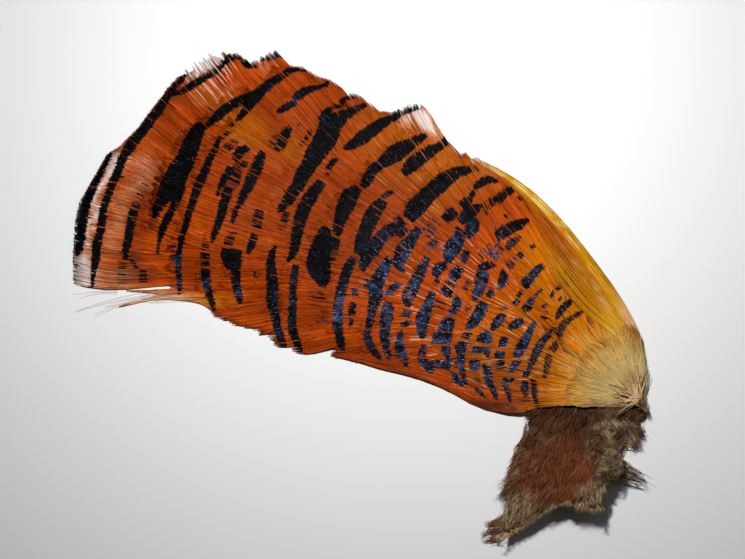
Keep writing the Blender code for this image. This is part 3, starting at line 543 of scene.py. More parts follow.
def kept_on_cape(plan, clump):
    """The barbs that lie wholly inside the cape's outline, with their clumps numbered again."""
    kept = inside_outline(plan, CAPE_OUTLINE).all(axis=1)
    return plan[kept], np.unique(clump[kept], return_inverse=True)[1]


def zone_weight(name, plan):
    """How strongly a kind of tint holds at each place, from 0 to 1."""
    weight = np.zeros(plan.shape[:-1])
    for x, y, half_length, half_width, bearing, strength in ZONES[name]:
        offset = plan - np.array((x, y))
        way = pointing(bearing)
        along = offset @ way / half_length
        across = offset @ left_of(way) / half_width
        edge = 1.0 - smooth_step(ZONE_CORE, ZONE_RIM, np.hypot(along, across))
        weight = np.maximum(weight, strength * edge)
    return weight


def channels(*parts):
    """Three numbers for each point of each strand, as one layer."""
    return np.stack(np.broadcast_arrays(*parts), axis=-1)


def zone_layer(plan, *names):
    """Three kinds of tint as one layer."""
    return channels(*(zone_weight(name, plan) for name in names))


def strand_layer(first, clump, random):
    """A first number, and then a roll for each strand and for each clump."""
    own = random.random((len(clump), 1))
    return channels(first, own, random.random(clump.max() + 1)[clump][:, None])


SHAFT_STEPS = 24
ROOT_WIDTH_SHARE = 0.12
TIP_ROUNDING = 0.18


class Shaft:
    """A feather in plan, in millimetres: t is 0 at its tip and 1 at its root."""

    def __init__(self, tip, bend, root, width, tip_share=1.0, widest=0.0):
        self.tip, self.bend, self.root = (np.array(place, float) for place in (tip, bend, root))
        self.half_width = width / 2.0
        self.tip_share = tip_share
        self.widest = widest
        steps = np.diff(self.point(even(SHAFT_STEPS)), axis=0)
        self.length = float(np.linalg.norm(steps, axis=1).sum())

    def point(self, t):
        t = np.asarray(t)[..., None]
        return self.tip * (1 - t) ** 2 + self.bend * 2 * t * (1 - t) + self.root * t * t

    def back(self, t):
        t = np.asarray(t)[..., None]
        return unit((self.bend - self.tip) * (1 - t) + (self.root - self.bend) * t)

    def half_width_at(self, t):
        share = 1.0 - (1.0 - ROOT_WIDTH_SHARE) * smooth_step(self.widest, 1.0, t)
        if self.widest > 0.0:
            near = self.tip_share + (1.0 - self.tip_share) * smooth_step(-self.widest, self.widest, t)
            share = np.where(t < self.widest, near, share)
        return self.half_width * share

    def place(self, t, across):
        """A place on the vane: across runs from -1 to 1."""
        back = self.back(t)
        rounding = TIP_ROUNDING * self.half_width * across**2 * np.maximum(1 - t, 0.0) ** 3
        sideways = left_of(back) * (across * self.half_width_at(t))[..., None]
        return self.point(t) + sideways + back * rounding[..., None]


def node_points(name):
    """The points of a node's mesh in millimetres, each once."""
    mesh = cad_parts[name].data
    points = np.empty(len(mesh.vertices) * 3)
    mesh.vertices.foreach_get("co", points)
    return np.unique(np.round(points.reshape(-1, 3) / MM, 3), axis=0)


# How far a sheet may pass its highest and lowest points
SHEET_ROOM = 0.3


class Surface:
    """A smooth sheet through points: a thin plate spline over the plan."""

    def __init__(self, points, stiffness=0.5):
        self.plan = points[:, :2]
        self.low, self.high = points[:, 2].min() - SHEET_ROOM, points[:, 2].max() + SHEET_ROOM
        count = len(points)
        system = np.zeros((count + 3, count + 3))
        system[:count, :count] = self.bulge(self.plan) + stiffness * np.eye(count)
        system[:count, count:] = np.c_[np.ones(count), self.plan]
        system[count:, :count] = system[:count, count:].T
        self.weights = np.linalg.solve(system, np.r_[points[:, 2], 0.0, 0.0, 0.0])

    def bulge(self, plan):
        square = ((plan[:, None] - self.plan[None]) ** 2).sum(axis=-1)
        return 0.5 * square * np.log(square + 1e-9)

    def height(self, plan):
        flat = plan.reshape(-1, 2)
        found = self.bulge(flat) @ self.weights[:-3]
        found += np.c_[np.ones(len(flat)), flat] @ self.weights[-3:]
        return np.clip(found, self.low, self.high).reshape(plan.shape[:-1])


@functools.cache
def tree_over(*starts):
    """A search tree over the nodes whose names start in one of some ways."""
    mesh = bmesh.new()
    for name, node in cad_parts.items():
        if name.startswith(starts):
            mesh.from_mesh(node.data)
    tree = BVHTree.FromBMesh(mesh)
    mesh.free()
    return tree


def top_of(tree, x, y):
    """How high a mesh reaches at a place in plan, or None beside it."""
    hit = tree.ray_cast(Vector((x * MM, y * MM, RAY_START)), DOWN)[0]
    return None if hit is None else hit.z / MM


TOP_GRID = 3.5
TOP_STIFFNESS = 40.0


@functools.cache
def cape_top():
    """A smooth sheet over the feathers that lie uppermost."""
    tree = tree_over("tippet", "crown")
    outline = np.array(CAPE_OUTLINE)
    low, high = outline.min(axis=0), outline.max(axis=0)
    found = []
    for x in np.arange(low[0], high[0], TOP_GRID):
        for y in np.arange(low[1], high[1], TOP_GRID):
            top = top_of(tree, x, y)
            if top is not None:
                found.append((x, y, top))
    return Surface(np.array(found), TOP_STIFFNESS)


# The least share of its height that the cape keeps where it hangs down, and the distances
# from its lower edge between which it sinks
DROOP_LEAST = 0.1
DROOP_REACH = (-3.0, 12.0)


def droop(plan):
    """The share of its height that the cape keeps: its lower edge hangs down to the paper."""
    nearest = np.full(plan.shape[:-1], 1e9)
    for start, end in zip(LOWER_EDGE, LOWER_EDGE[1:]):
        start, run = np.array(start), np.array(end) - np.array(start)
        share = np.clip((plan - start) @ run / (run @ run), 0.0, 1.0)
        nearest = np.minimum(nearest, np.linalg.norm(plan - start - share[..., None] * run, axis=-1))
    return DROOP_LEAST + (1.0 - DROOP_LEAST) * smooth_step(*DROOP_REACH, nearest)


@functools.cache
def strand_shape(rings):
    """One barb or hair: a three-sided stick cut into rings, as corners, rings and faces."""
    stick = bmesh.new()
    bmesh.ops.create_cone(stick, cap_ends=True, segments=3, radius1=1.0, radius2=1.0, depth=1.0)
    long_edges = [edge for edge in stick.edges if abs(edge.verts[0].co.z - edge.verts[1].co.z) > 0.5]
    bmesh.ops.subdivide_edges(stick, edges=long_edges, cuts=rings - 2, use_grid_fill=True)
    stick.verts.ensure_lookup_table()
    first = stick.verts[0].co
    lean = math.pi / 2.0 - math.atan2(first.y, first.x)
    bmesh.ops.rotate(stick, verts=stick.verts, matrix=Matrix.Rotation(lean, 3, "Z"))
    bmesh.ops.recalc_face_normals(stick, faces=stick.faces)
    stick.verts.index_update()
    corners = np.array([vertex.co for vertex in stick.verts])
    faces = [[vertex.index for vertex in face.verts] for face in stick.faces]
    stick.free()
    ring = np.rint((corners[:, 2] + 0.5) * (rings - 1)).astype(int)
    return corners[:, :2], ring, faces


def strand_corners(paths, half_width, flatness, twist, section, ring):
    """Where the corners of each strand go, in millimetres."""
    along = unit(np.gradient(paths, axis=1))
    side = unit(np.cross(UP, along))
    up = np.cross(along, side)
    turn = twist[:, None, None]
    wide, tall = np.cos(turn) * side + np.sin(turn) * up, np.cos(turn) * up - np.sin(turn) * side
    return (
        paths[:, ring]
        + wide[:, ring] * (section[:, 0] * half_width[:, ring])[..., None]
        + tall[:, ring] * (section[:, 1] * half_width[:, ring] * flatness)[..., None]
    )


def linked(name, data):
    """A new object in the scene."""
    made = bpy.data.objects.new(name, data)
    bpy.context.scene.collection.objects.link(made)
    return made


def linked_mesh(name, mesh):
    """A new object in the scene, from a mesh that has been modelled."""
    data = bpy.data.meshes.new(name)
    mesh.to_mesh(data)
    mesh.free()
    return linked(name, data)


def place_piece(piece, finish, nodes=()):
    """Gives a piece its finish and says what it rides on and stands for."""
    piece.data.materials.append(finish)
    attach(piece, "root")
    if nodes:
        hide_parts(*nodes)


def add_strands(name, plan, height, half_width, flatness, twist, layers, finish, nodes=()):
    """Makes many strands one piece. Each is a row of rings, tip first, in millimetres."""
    paths = np.concatenate((plan, height[..., None]), axis=-1)
    count, rings = paths.shape[:2]
    section, ring, faces = strand_shape(rings)
    corners = strand_corners(paths, half_width, flatness, twist, section, ring)
    loops = np.concatenate([np.array(face) for face in faces])
    sizes = np.array([len(face) for face in faces])
    starts = np.concatenate(([0], np.cumsum(sizes)[:-1]))
    strand = np.arange(count)[:, None]
    mesh = bpy.data.meshes.new(name)
    mesh.vertices.add(count * len(ring))
    mesh.vertices.foreach_set("co", (corners * MM).astype(np.float32).ravel())
    mesh.loops.add(count * len(loops))
    mesh.loops.foreach_set("vertex_index", (strand * len(ring) + loops).astype(np.int32).ravel())
    mesh.polygons.add(count * len(sizes))
    mesh.polygons.foreach_set("loop_start", (strand * len(loops) + starts).astype(np.int32).ravel())
    mesh.update(calc_edges=True)
    mesh.polygons.foreach_set("use_smooth", np.ones(len(mesh.polygons), bool))
    for layer_name, values in layers.items():
        layer = mesh.attributes.new(layer_name, "FLOAT_VECTOR", "POINT")
        layer.data.foreach_set("vector", values[:, ring].astype(np.float32).ravel())
    place_piece(linked(name, mesh), finish, nodes)


# A barb holds the starts and ends of BAR_SPANS bars, and NO_BAR where it has fewer
BAR_SPANS = 6
NO_BAR = -9.0
BAR_GROUPS = 4
# How far past a barb's tip a bar still counts, and how much wider every bar is drawn
BAR_BEFORE = 2.0
BAR_SPREAD = 0.06
# The share of the barbs that no bar marks
BAR_MISSED = 0.015
# A bar along a barb is drawn no longer than one that crosses it at this sine
LEAST_SLANT = 0.4
# Bars are wider far from the crown
BAR_LEAST_WIDTH = 0.9
BAR_WIDENING = 0.2
BAR_WIDENS = (22.0, 55.0)
# A bar's ends are ragged from clump to clump and from barb to barb, with a tooth here and there
BAR_CLUMP_RAGGED = 0.05
BAR_RAGGED = 0.1
BAR_TOOTH = 0.35
BAR_TOOTH_SHARE = 0.16
# How far the clump and the barb each decide whether a broken bar marks it. Each bar reads
# the clumps' rolls in its own order.
CLUMP_SAY, BARB_SAY = 0.35, 0.65
CLUMP_STRIDE = 7


def joined(spans):
    """The spans in order, with those that overlap joined."""
    found = []
    for low, high in sorted(spans):
        if found and low < found[-1][1]:
            found[-1][1] = max(found[-1][1], high)
        else:
            found.append([low, high])
    return found


def bar_spans(plan, distance, clump, random):
    """Where the bars cross each barb, as starts and ends of its distance from the tip."""
    count, clump_count = len(plan), clump.max() + 1
    start, step = plan[:, :-1], np.diff(plan, axis=1)
    low, high = plan.min(axis=(0, 1)) - BAR_BEFORE, plan.max(axis=(0, 1)) + BAR_BEFORE
    rows = [[] for _ in plan]
    before = np.zeros(step.shape[:2])
    before[:, 0] = BAR_BEFORE / np.linalg.norm(step[:, 0], axis=-1)
    missed = random.random(count) < BAR_MISSED
    from_crown = np.linalg.norm(start - CROWN, axis=-1)
    widening = BAR_LEAST_WIDTH + BAR_WIDENING * smooth_step(*BAR_WIDENS, from_crown)
    clump_rolls = random.random(clump_count)
    clump_shifts = random.normal(0.0, BAR_CLUMP_RAGGED, (clump_count, 2))
    for share, line in BARS:
        shared = clump_rolls[(clump * CLUMP_STRIDE + len(line)) % clump_count]
        rolls = CLUMP_SAY * shared + BARB_SAY * random.random(count)
        for (x, y, width), (next_x, next_y, next_width) in zip(line, line[1:]):
            near, far = np.array((x, y)), np.array((next_x, next_y))
            if (np.maximum(near, far) < low).any() or (np.minimum(near, far) > high).any():
                continue
            run = far - near
            slant = crossed(step, run)
            slant = np.where(np.abs(slant) < 1e-9, 1e-9, slant)
            at = crossed(near - start, run) / slant
            share_along = crossed(near - start, step) / slant
            hits = (at >= -before) & (at < 1) & (share_along >= 0) & (share_along < 1)
            for barb, segment in zip(*np.nonzero(hits)):
                if rolls[barb] > share or missed[barb]:
                    continue
                length = np.linalg.norm(step[barb, segment])
                middle = distance[barb, segment] + at[barb, segment] * length
                sine = abs(slant[barb, segment]) / (length * np.linalg.norm(run))
                half = width + (next_width - width) * share_along[barb, segment]
                half = (half * widening[barb, segment] + BAR_SPREAD) / 2.0 / max(sine, LEAST_SLANT)
                rows[barb].append((middle - half, middle + half))
    spans = np.full((count, 2 * BAR_SPANS), NO_BAR)
    ragged = random.normal(0.0, BAR_RAGGED, spans.shape)
    teeth = random.exponential(BAR_TOOTH, spans.shape) * (random.random(spans.shape) < BAR_TOOTH_SHARE)
    ragged = ragged + teeth * random.choice((-1.0, 1.0), spans.shape)
    for barb, found in enumerate(rows):
        ends = np.ravel(joined(found)[:BAR_SPANS])
        shift = np.resize(clump_shifts[clump[barb]], len(ends))
        spans[barb, : len(ends)] = ends + shift + ragged[barb, : len(ends)]
    return spans


def barb_layers(plan, distance, clump, random):
    """The layers that the barbs' finish reads: the barb itself, its tints, and its bars."""
    spans = bar_spans(plan, distance, clump, random)
    layers = {
        "strand": strand_layer(distance, clump, random),
        "tint": zone_layer(plan, "pale", "gold", "deep"),
        # Painted blue sheen, painted glints, and dull brown with painted shade along the lower edge
        "gloss": zone_layer(plan, "blue", "glint", "dusk"),
    }
    for group, span in enumerate(np.split(spans, BAR_GROUPS, axis=1)):
        layers[f"bars_{group + 1}"] = np.broadcast_to(span[:, None], (*distance.shape, 3))
    return layers


# Where a tippet's shaft bends, as a share of its way to the root
FEATHER_BEND = 0.45
# Barbs lie this share of the way down from the cape's top to their own vane, sink past its
# edge and towards its sides, and lie no lower than LEAST_HEIGHT, in millimetres
LAYER_SHARE = 0.12
EDGE_DIP = 0.04
SIDE_DIP = 0.07
LEAST_HEIGHT = 0.12
# Neighbouring barbs lie a little above and below each other
LAY_ABOVE, LAY_BELOW = 0.05, -0.06
# The barbs' spread across the vane, how far past its tip they reach, and how they close in on
# the shaft
BARB_SPREAD = 1.2
BARB_REACH = -3.0
BARB_CLOSING = 2.5
LEAST_BARBS = 30
# Rings along a barb: one for each RING_STEP of its feather and some more, within limits
RING_STEP = 8.0
MORE_RINGS = 3
FEWEST_RINGS, MOST_RINGS = 6, 13
# Where barbs join the shaft: those in the middle within JOIN_WITHIN millimetres of the tip
JOIN_NEAR, JOIN_FAR = 0.62, 0.97
JOIN_WITHIN = 24.0
JOIN_POWER = 1.25
# Barbs in thin patches start further back, by this much on average
THINNING = 8.0
# A barb is tried at PROBE_RINGS places, and its tip is sought among the first PROBE_NEAR; the
# steps then bring it to the outline
PROBE_RINGS = 48
PROBE_NEAR = 30
OUTLINE_STEPS = 5
SHORTEST_BARB = 1.5
# The tippets along the far end have firm, even tips
FIRM_TIPPETS = (0, 1, 2)
FIRM_SHARE = 0.15
FIRM_RAGGED, TIP_RAGGED = 0.1, 0.24
FIRM_TIP, SOFT_TIP = 0.9, 0.5
# The tippets whose barbs are sparse, and those with pale tips: the reach in millimetres, and
# the strength
SPARSE_TIPPETS = (3,)
SPARSE_PITCH = 2.2
PALE_TIPPETS = {0: (3.5, 0.45), 3: (7.0, 0.95), 24: (4.0, 0.7)}
PALE_FADE = 2.5
# A shaft shows from SHAFT_START of its length on, and thickens towards its root, in millimetres
SHAFT_START = 0.16
SHAFT_BELOW = 0.05
SHAFT_TIP_HALF, SHAFT_GROWTH = 0.09, 0.2


def tippet_shaft(index, points):
    """A tippet's shaft in plan; its root is where the node's nearest end is to the crown."""
    x, y, heading, width = TIPPETS[index]
    tip = np.array((x, y))
    root_at = np.linalg.norm(points[:, :2] - CROWN, axis=1).min()
    bend = tip - pointing(heading) * (np.linalg.norm(tip - CROWN) - root_at) * FEATHER_BEND
    root = CROWN + unit(bend - CROWN) * root_at
    return Shaft(tip, bend, root, width)


def barb_starts(shaft, across, join, sparse, firm, random):
    """Where each barb's tip is on its shaft, cut back to the cape's outline, and which are left."""
    count = len(across)
    every = np.arange(count)
    clump = clumps_of(count, random)
    behind = random.gamma(1.2, 0.7, clump.max() + 1)[clump] + random.gamma(1.5, 0.3, count)
    behind = BARB_REACH + behind * (FIRM_SHARE if firm else 1.0)
    if sparse:
        behind = behind + random.gamma(1.2, 0.7, count)
    start = behind / shaft.length
    thin = zone_weight("thin", shaft.place(np.clip(start, 0.0, 1.0), across))
    start = start + thin * random.exponential(THINNING, count) / shaft.length
    share = even(PROBE_RINGS)
    t = start[:, None] + (join - start)[:, None] * share
    plan = shaft.place(t, across[:, None] * (1.0 - share**BARB_CLOSING))
    inside = inside_outline(plan, CAPE_OUTLINE)
    # A barb starts where it last comes in over the outline
    outside = ~inside[:, :PROBE_NEAR]
    first = np.where(outside.any(axis=1), PROBE_NEAR - outside[:, ::-1].argmax(axis=1), 0)
    cut, over = t[every, first], t[every, np.maximum(first - 1, 0)]
    for _ in range(OUTLINE_STEPS):
        middle = (cut + over) / 2.0
        along = np.maximum((middle - start) / (join - start), 0.0)
        within = inside_outline(shaft.place(middle, across * (1.0 - along**BARB_CLOSING)), CAPE_OUTLINE)
        cut, over = np.where(within, middle, cut), np.where(within, over, middle)
    ragged = FIRM_RAGGED if firm else TIP_RAGGED
    cut = cut + np.where(first > 0, random.normal(0.0, ragged, count) / shaft.length, 0.0)
    at_edge = zone_weight("thin", shaft.place(cut, across)) * (first > 0)
    cut = cut + at_edge * random.exponential(THINNING, count) / shaft.length
    return cut, inside[every, first] & (cut < join - SHORTEST_BARB / shaft.length)


def layered_height(surface, plan):
    """How high a feather's barbs lie: near the cape's top, a little towards their own vane."""
    top = cape_top().height(plan)
    return top - LAYER_SHARE * (top - surface.height(plan))


def tippet_quill(shaft, surface, rings, random):
    """A tippet's shaft, under its barbs, as one more strand: plan, height, half width, layers."""
    plan = shaft.point(np.linspace(SHAFT_START, 1.0, rings))[None]
    height = (layered_height(surface, plan) - SHAFT_BELOW) * droop(plan)
    half = (SHAFT_TIP_HALF + SHAFT_GROWTH * even(rings))[None]
    paths = np.concatenate((plan, height[..., None]), axis=-1)
    return plan, height, half, barb_layers(plan, distances(paths), np.zeros(1, int), random)


def add_tippet(index, settings, finish):
    """One tippet's barbs and shaft."""
    name = f"tippet_{index + 1:02d}"
    random = seeded("tippet", index)
    points = node_points(name)
    shaft = tippet_shaft(index, points)
    surface = Surface(points)
    sparse, firm = index in SPARSE_TIPPETS, index in FIRM_TIPPETS
    pitch = settings.barb_pitch / MM * (SPARSE_PITCH if sparse else 1.0)
    count = max(LEAST_BARBS, round(2.0 * BARB_SPREAD * shaft.half_width / pitch))
    rings = int(np.clip(round(shaft.length / RING_STEP) + MORE_RINGS, FEWEST_RINGS, MOST_RINGS))
    across = (np.arange(count) + 0.5) / count * 2.0 - 1.0
    across = BARB_SPREAD * across + random.normal(0.0, 0.35 / count, count)
    near_join = min(JOIN_NEAR, JOIN_WITHIN / shaft.length)
    join = near_join + (JOIN_FAR - near_join) * np.minimum(np.abs(across), 1.0) ** JOIN_POWER
    start, inside = barb_starts(shaft, across, join, sparse, firm, random)
    across, start, join = across[inside], start[inside], join[inside]
    count = len(across)
    clump = clumps_of(count, random)
    middles = np.array([across[clump == group].mean() for group in range(clump.max() + 1)])
    pull = random.uniform(0.05, settings.clumping, clump.max() + 1)[clump]
    share = even(rings) ** 1.25
    t = start[:, None] + (join - start)[:, None] * share
    drawn = across[:, None] + (middles[clump] - across)[:, None] * (pull[:, None] * (1.0 - share) ** 2)
    drawn = (drawn + wavering(random, 0.004, count, share, 5.0)) * (1.0 - share**BARB_CLOSING)
    plan = shaft.place(t, drawn)
    distance = distances(plan)
    # Past the vane's own edge the barbs dip under their neighbours
    vane = shaft.place(np.maximum(t, 0.0), np.clip(drawn, -1.0, 1.0))
    past = np.linalg.norm(plan - vane, axis=-1)
    lift = -settings.tip_dip / MM * np.exp(-distance / 1.5) * random.uniform(0.5, 1.2, (count, 1))
    layer = np.where(np.arange(count) % 2 == 0, LAY_ABOVE, LAY_BELOW)[:, None]
    height = layered_height(surface, vane) + lift + layer + random.normal(0.0, 0.03, (count, 1))
    sunk = EDGE_DIP * past, SIDE_DIP * np.abs(np.clip(drawn, -1.0, 1.0)) ** 4
    height = np.maximum((height - sunk[0] - sunk[1]) * droop(plan), LEAST_HEIGHT)
    half = settings.barb_width / MM / 2.0 * random.uniform(0.75, 1.2, (count, 1))
    half = half * taper(FIRM_TIP if firm else SOFT_TIP, 1.0, distance) * (1.0 - 0.45 * share)
    layers = barb_layers(plan, distance, clump, random)
    if index in PALE_TIPPETS:
        reach, strength = PALE_TIPPETS[index]
        pale = strength * (1.0 - smooth_step(reach, reach + PALE_FADE, distance))
        layers["tint"][..., 0] = np.maximum(layers["tint"][..., 0], pale)
    quill_plan, quill_height, quill_half, quill_layers = tippet_quill(shaft, surface, rings, random)
    add_strands(
        name + "_barbs",
        np.concatenate((plan, quill_plan)),
        np.concatenate((height, quill_height)),
        np.concatenate((half, quill_half)),
        0.5,
        np.concatenate((random.normal(0.0, 0.35, count), [0.0])),
        {key: np.concatenate((values, quill_layers[key])) for key, values in layers.items()},
        finish,
        (name,),
    )


def operation(kind, flipped=False):
    """A method that joins two numbers by a Math node."""

    def method(self, other):
        return self.made(kind, *((other, self) if flipped else (self, other)))

    return method


class Wire:
    """A number in a shader, with Python's own operators."""

    def __init__(self, tree, socket):
        self.tree, self.socket = tree, socket

    def made(self, kind, *values, clamp=False):
        node = self.tree.nodes.new("ShaderNodeMath")
        node.operation = kind
        node.use_clamp = clamp
        for socket, value in zip(node.inputs, values):
            connect(self.tree, socket, value)
        return Wire(self.tree, node.outputs[0])

    __add__ = __radd__ = operation("ADD")
    __sub__, __rsub__ = operation("SUBTRACT"), operation("SUBTRACT", True)
    __mul__ = __rmul__ = operation("MULTIPLY")
    __truediv__ = operation("DIVIDE")
    __pow__ = operation("POWER")
    most, least = operation("MAXIMUM"), operation("MINIMUM")

    def fraction(self):
        return self.made("FRACT", self)

    def held(self):
        """Held between 0 and 1."""
        return self.made("ADD", self, 0.0, clamp=True)

    def rise(self, low, high):
        """0 below low and 1 above high, in a straight line between."""
        return ((self - low) / (high - low)).held()


def connect(tree, socket, value):
    """Sets a socket, or links it to what feeds it."""
    value = getattr(value, "socket", value)
    if isinstance(value, bpy.types.NodeSocket):
        tree.links.new(value, socket)
    elif isinstance(value, Color):
        socket.default_value = (*value, 1.0)
    else:
        socket.default_value = value


class Finish:
    """A material under construction."""

    def __init__(self, name, specular):
        self.material = bpy.data.materials.new(name)
        self.material.use_nodes = True
        self.tree = self.material.node_tree
        self.surface = self.tree.nodes["Principled BSDF"]
        self.set("Specular IOR Level", specular)

    def set(self, socket, value):
        connect(self.tree, self.surface.inputs[socket], value)

    def node(self, kind, settings, sockets, output=0):
        made = self.tree.nodes.new(kind)
        for name, value in settings.items():
            setattr(made, name, value)
        for name, value in sockets.items():
            connect(self.tree, made.inputs[name], value)
        return Wire(self.tree, made.outputs[output])

    def parts_of(self, vector):
        return [self.node("ShaderNodeSeparateXYZ", {}, {"Vector": vector}, axis) for axis in "XYZ"]

    def attribute(self, name):
        """The three numbers that a mesh holds at each point under a name."""
        return self.parts_of(self.node("ShaderNodeAttribute", {"attribute_name": name}, {}, "Vector"))

    def place(self):
        return self.node("ShaderNodeTexCoord", {}, {}, "Object")

    def noise(self, scale, detail, where=None):
        sockets = {"Vector": where or self.place(), "Scale": scale, "Detail": detail}
        return self.node("ShaderNodeTexNoise", {}, sockets)

    def mix(self, factor, first, second):
        return self.node("ShaderNodeMix", {"data_type": "RGBA"}, {0: factor, 6: first, 7: second}, 2)

    def layered(self, colour, *layers):
        """A colour with others laid over it in turn, each by an amount that the node holds to 0 to 1."""
        for amount, over in layers:
            colour = self.mix(amount, colour, over)
        return colour

    def shaded(self, colour, amount):
        """A colour made darker or brighter by an amount."""
        return self.node("ShaderNodeVectorMath", {"operation": "SCALE"}, {0: colour, "Scale": amount})

    def done(self, colour, roughness):
        self.set("Base Color", colour)
        self.set("Roughness", roughness)
        return self.material


def crown_distance(finish, jitter):
    """The plan distance from the crown in millimetres, made ragged from barb to barb."""
    x, y, _ = finish.parts_of(finish.place())
    across, along = x - CROWN[0] * MM, y - CROWN[1] * MM
    return (across * across + along * along) ** 0.5 * 1000.0 + jitter


# A bar's ends fade over this much of a barb, in millimetres
BAR_FADE = 0.12


def bar_mark(finish, distance):
    """1 in a barb's bars and 0 between them."""
    spans = [value for group in range(BAR_GROUPS) for value in finish.attribute(f"bars_{group + 1}")]
    bar = 0.0
    for near, far in zip(spans[::2], spans[1::2]):
        bar = ((distance - near).rise(0.0, BAR_FADE) * (far - distance).rise(0.0, BAR_FADE)).most(bar)
    return bar


def tippet_finish(settings):
    """Orange barbs with near-black bars, cream towards the crown."""
    finish = Finish("tippet_barbs", 0.06)
    distance, barb, clump = finish.attribute("strand")
    pale, gold, deep = finish.attribute("tint")
    blue, glint, dusk = finish.attribute("gloss")
    bar = bar_mark(finish, distance)
    patches = finish.noise(260.0, 3.0)
    reach = crown_distance(finish, (barb - 0.5) * 5.0 + (clump - 0.5) * 5.0)
    faded = finish.mix((pale - 0.6).rise(0.0, 0.35), settings.faded_orange, settings.pale_pink)
    # Painted highlight: thin glints on the lightest barbs in the glint patches
    glints = finish.noise(340.0, 1.0).rise(0.48, 0.6) * (barb - 0.8).rise(0.0, 0.14) * (0.05 + 0.95 * glint)
    colour = finish.layered(
        settings.deep_orange,
        (0.55 * barb + 0.35 * clump + 0.6 * (patches - 0.3), settings.bright_orange),
        (gold * 0.85 + barb * 0.2 * gold, settings.gold),
        (deep * (0.65 + 0.5 * clump), settings.deep_red),
        # Dull brown patches, and painted shade along the cape's lower edge
        (dusk * (0.6 + 0.5 * barb), settings.dull_brown_and_edge_shade),
        # Towards the crown the barbs turn gold and then cream
        ((1.0 - reach.rise(15.0, 24.0)) * 0.85, settings.gold),
        (0.6 * (1.0 - reach.rise(12.5, 18.0)), settings.bright_gold),
        (1.0 - reach.rise(9.5, 15.5), settings.cream),
        # Pale barbs with white streaks, and thin glints of painted highlight here and there
        (pale * (0.4 + 0.7 * barb) + 2.0 * (pale - 0.7).most(0.0), faded),
        (glints * 0.8, settings.glint),
    )
    # Painted shade: a share of the barbs is darkened as the thin shadows in the gaps between them
    colour = finish.shaded(colour, 1.0 - 0.4 * (0.16 - (barb * 7.31 + clump * 3.7).fraction()).rise(0.0, 0.1))
    # The bars are near-black, with a painted blue sheen and pale flecks of painted highlight
    sheen_patch = finish.noise(520.0, 2.0).rise(0.46, 0.66)
    barb_place = {"X": distance * 1.6, "Y": barb * 60.0, "Z": clump * 25.0}
    along_barb = finish.node("ShaderNodeCombineXYZ", {}, barb_place)
    flecks = finish.noise(1.0, 1.0, along_barb).rise(0.6, 0.68)
    fleck = flecks * (barb - 0.3).rise(0.0, 0.2) * (0.07 + blue + 0.6 * glint).held()
    black = finish.layered(
        settings.bar_black,
        (blue * (0.06 + 0.94 * sheen_patch) * (0.3 + 0.9 * barb), settings.bar_blue_sheen),
        (fleck * 0.85, settings.bar_highlight),
        (1.0 - reach.rise(15.0, 22.0), settings.dull_brown_and_edge_shade),
    )
    colour = finish.mix(bar * (0.1 + 0.9 * reach.rise(12.0, 19.0)), colour, black)
    return finish.done(colour, 0.5 + 0.12 * (barb - 0.5))


def crest_finish(settings):
    """Silky golden strands, amber on their inner side."""
    finish = Finish("crest_strands", 0.15)
    outer, strand, clump = finish.attribute("strand")
    amber, crest_highlight, brown = finish.attribute("tint")
    reach = crown_distance(finish, (strand - 0.5) * 4.0 + (clump - 0.5) * 3.0)
    # Painted highlight: bright streaks on the strands, strongest along the crest's outer edge
    highlight_streaks = finish.noise(300.0, 2.0).rise(0.42, 0.55) * (strand - 0.7).rise(0.0, 0.15)
    colour = finish.layered(
        settings.deep_gold,
        (0.4 * strand + 0.8 * clump - 0.1, settings.bright_gold),
        (amber * (0.6 + 0.5 * clump), settings.amber),
        (brown * (0.5 + 0.6 * strand), settings.crest_brown),
        (0.6 * (1.0 - reach.rise(15.0, 21.0)), settings.bright_gold),
        (0.9 * (1.0 - reach.rise(9.0, 15.0)), settings.cream),
        (outer * (0.35 + 0.6 * strand), settings.outer_cream),
        (highlight_streaks * (0.1 + 0.9 * crest_highlight), settings.gold_light),
    )
    colour = finish.shaded(colour, 1.0 - 0.42 * (0.3 - strand).rise(0.0, 0.2))
    return finish.done(colour, 0.34 + 0.15 * clump)


def crown_finish(settings):
    """Soft cream barbs with tan and brown bases."""
    finish = Finish("crown_down", 0.2)
    _, strand, clump = finish.attribute("strand")
    golden, brown, pink = finish.attribute("tint")
    colour = finish.layered(
        settings.tan,
        (0.5 * strand + 0.5 * finish.noise(400.0, 2.0), settings.cream),
        (golden * (0.5 + 0.6 * clump), settings.gold),
        (brown * (0.3 + 0.9 * strand), settings.crest_brown),
        (pink * (0.4 + 0.7 * clump), settings.pale_pink),
    )
    colour = finish.shaded(colour, 1.0 - 0.5 * (0.2 - strand).rise(0.0, 0.1))
    return finish.done(colour, 0.55 + 0.1 * clump)


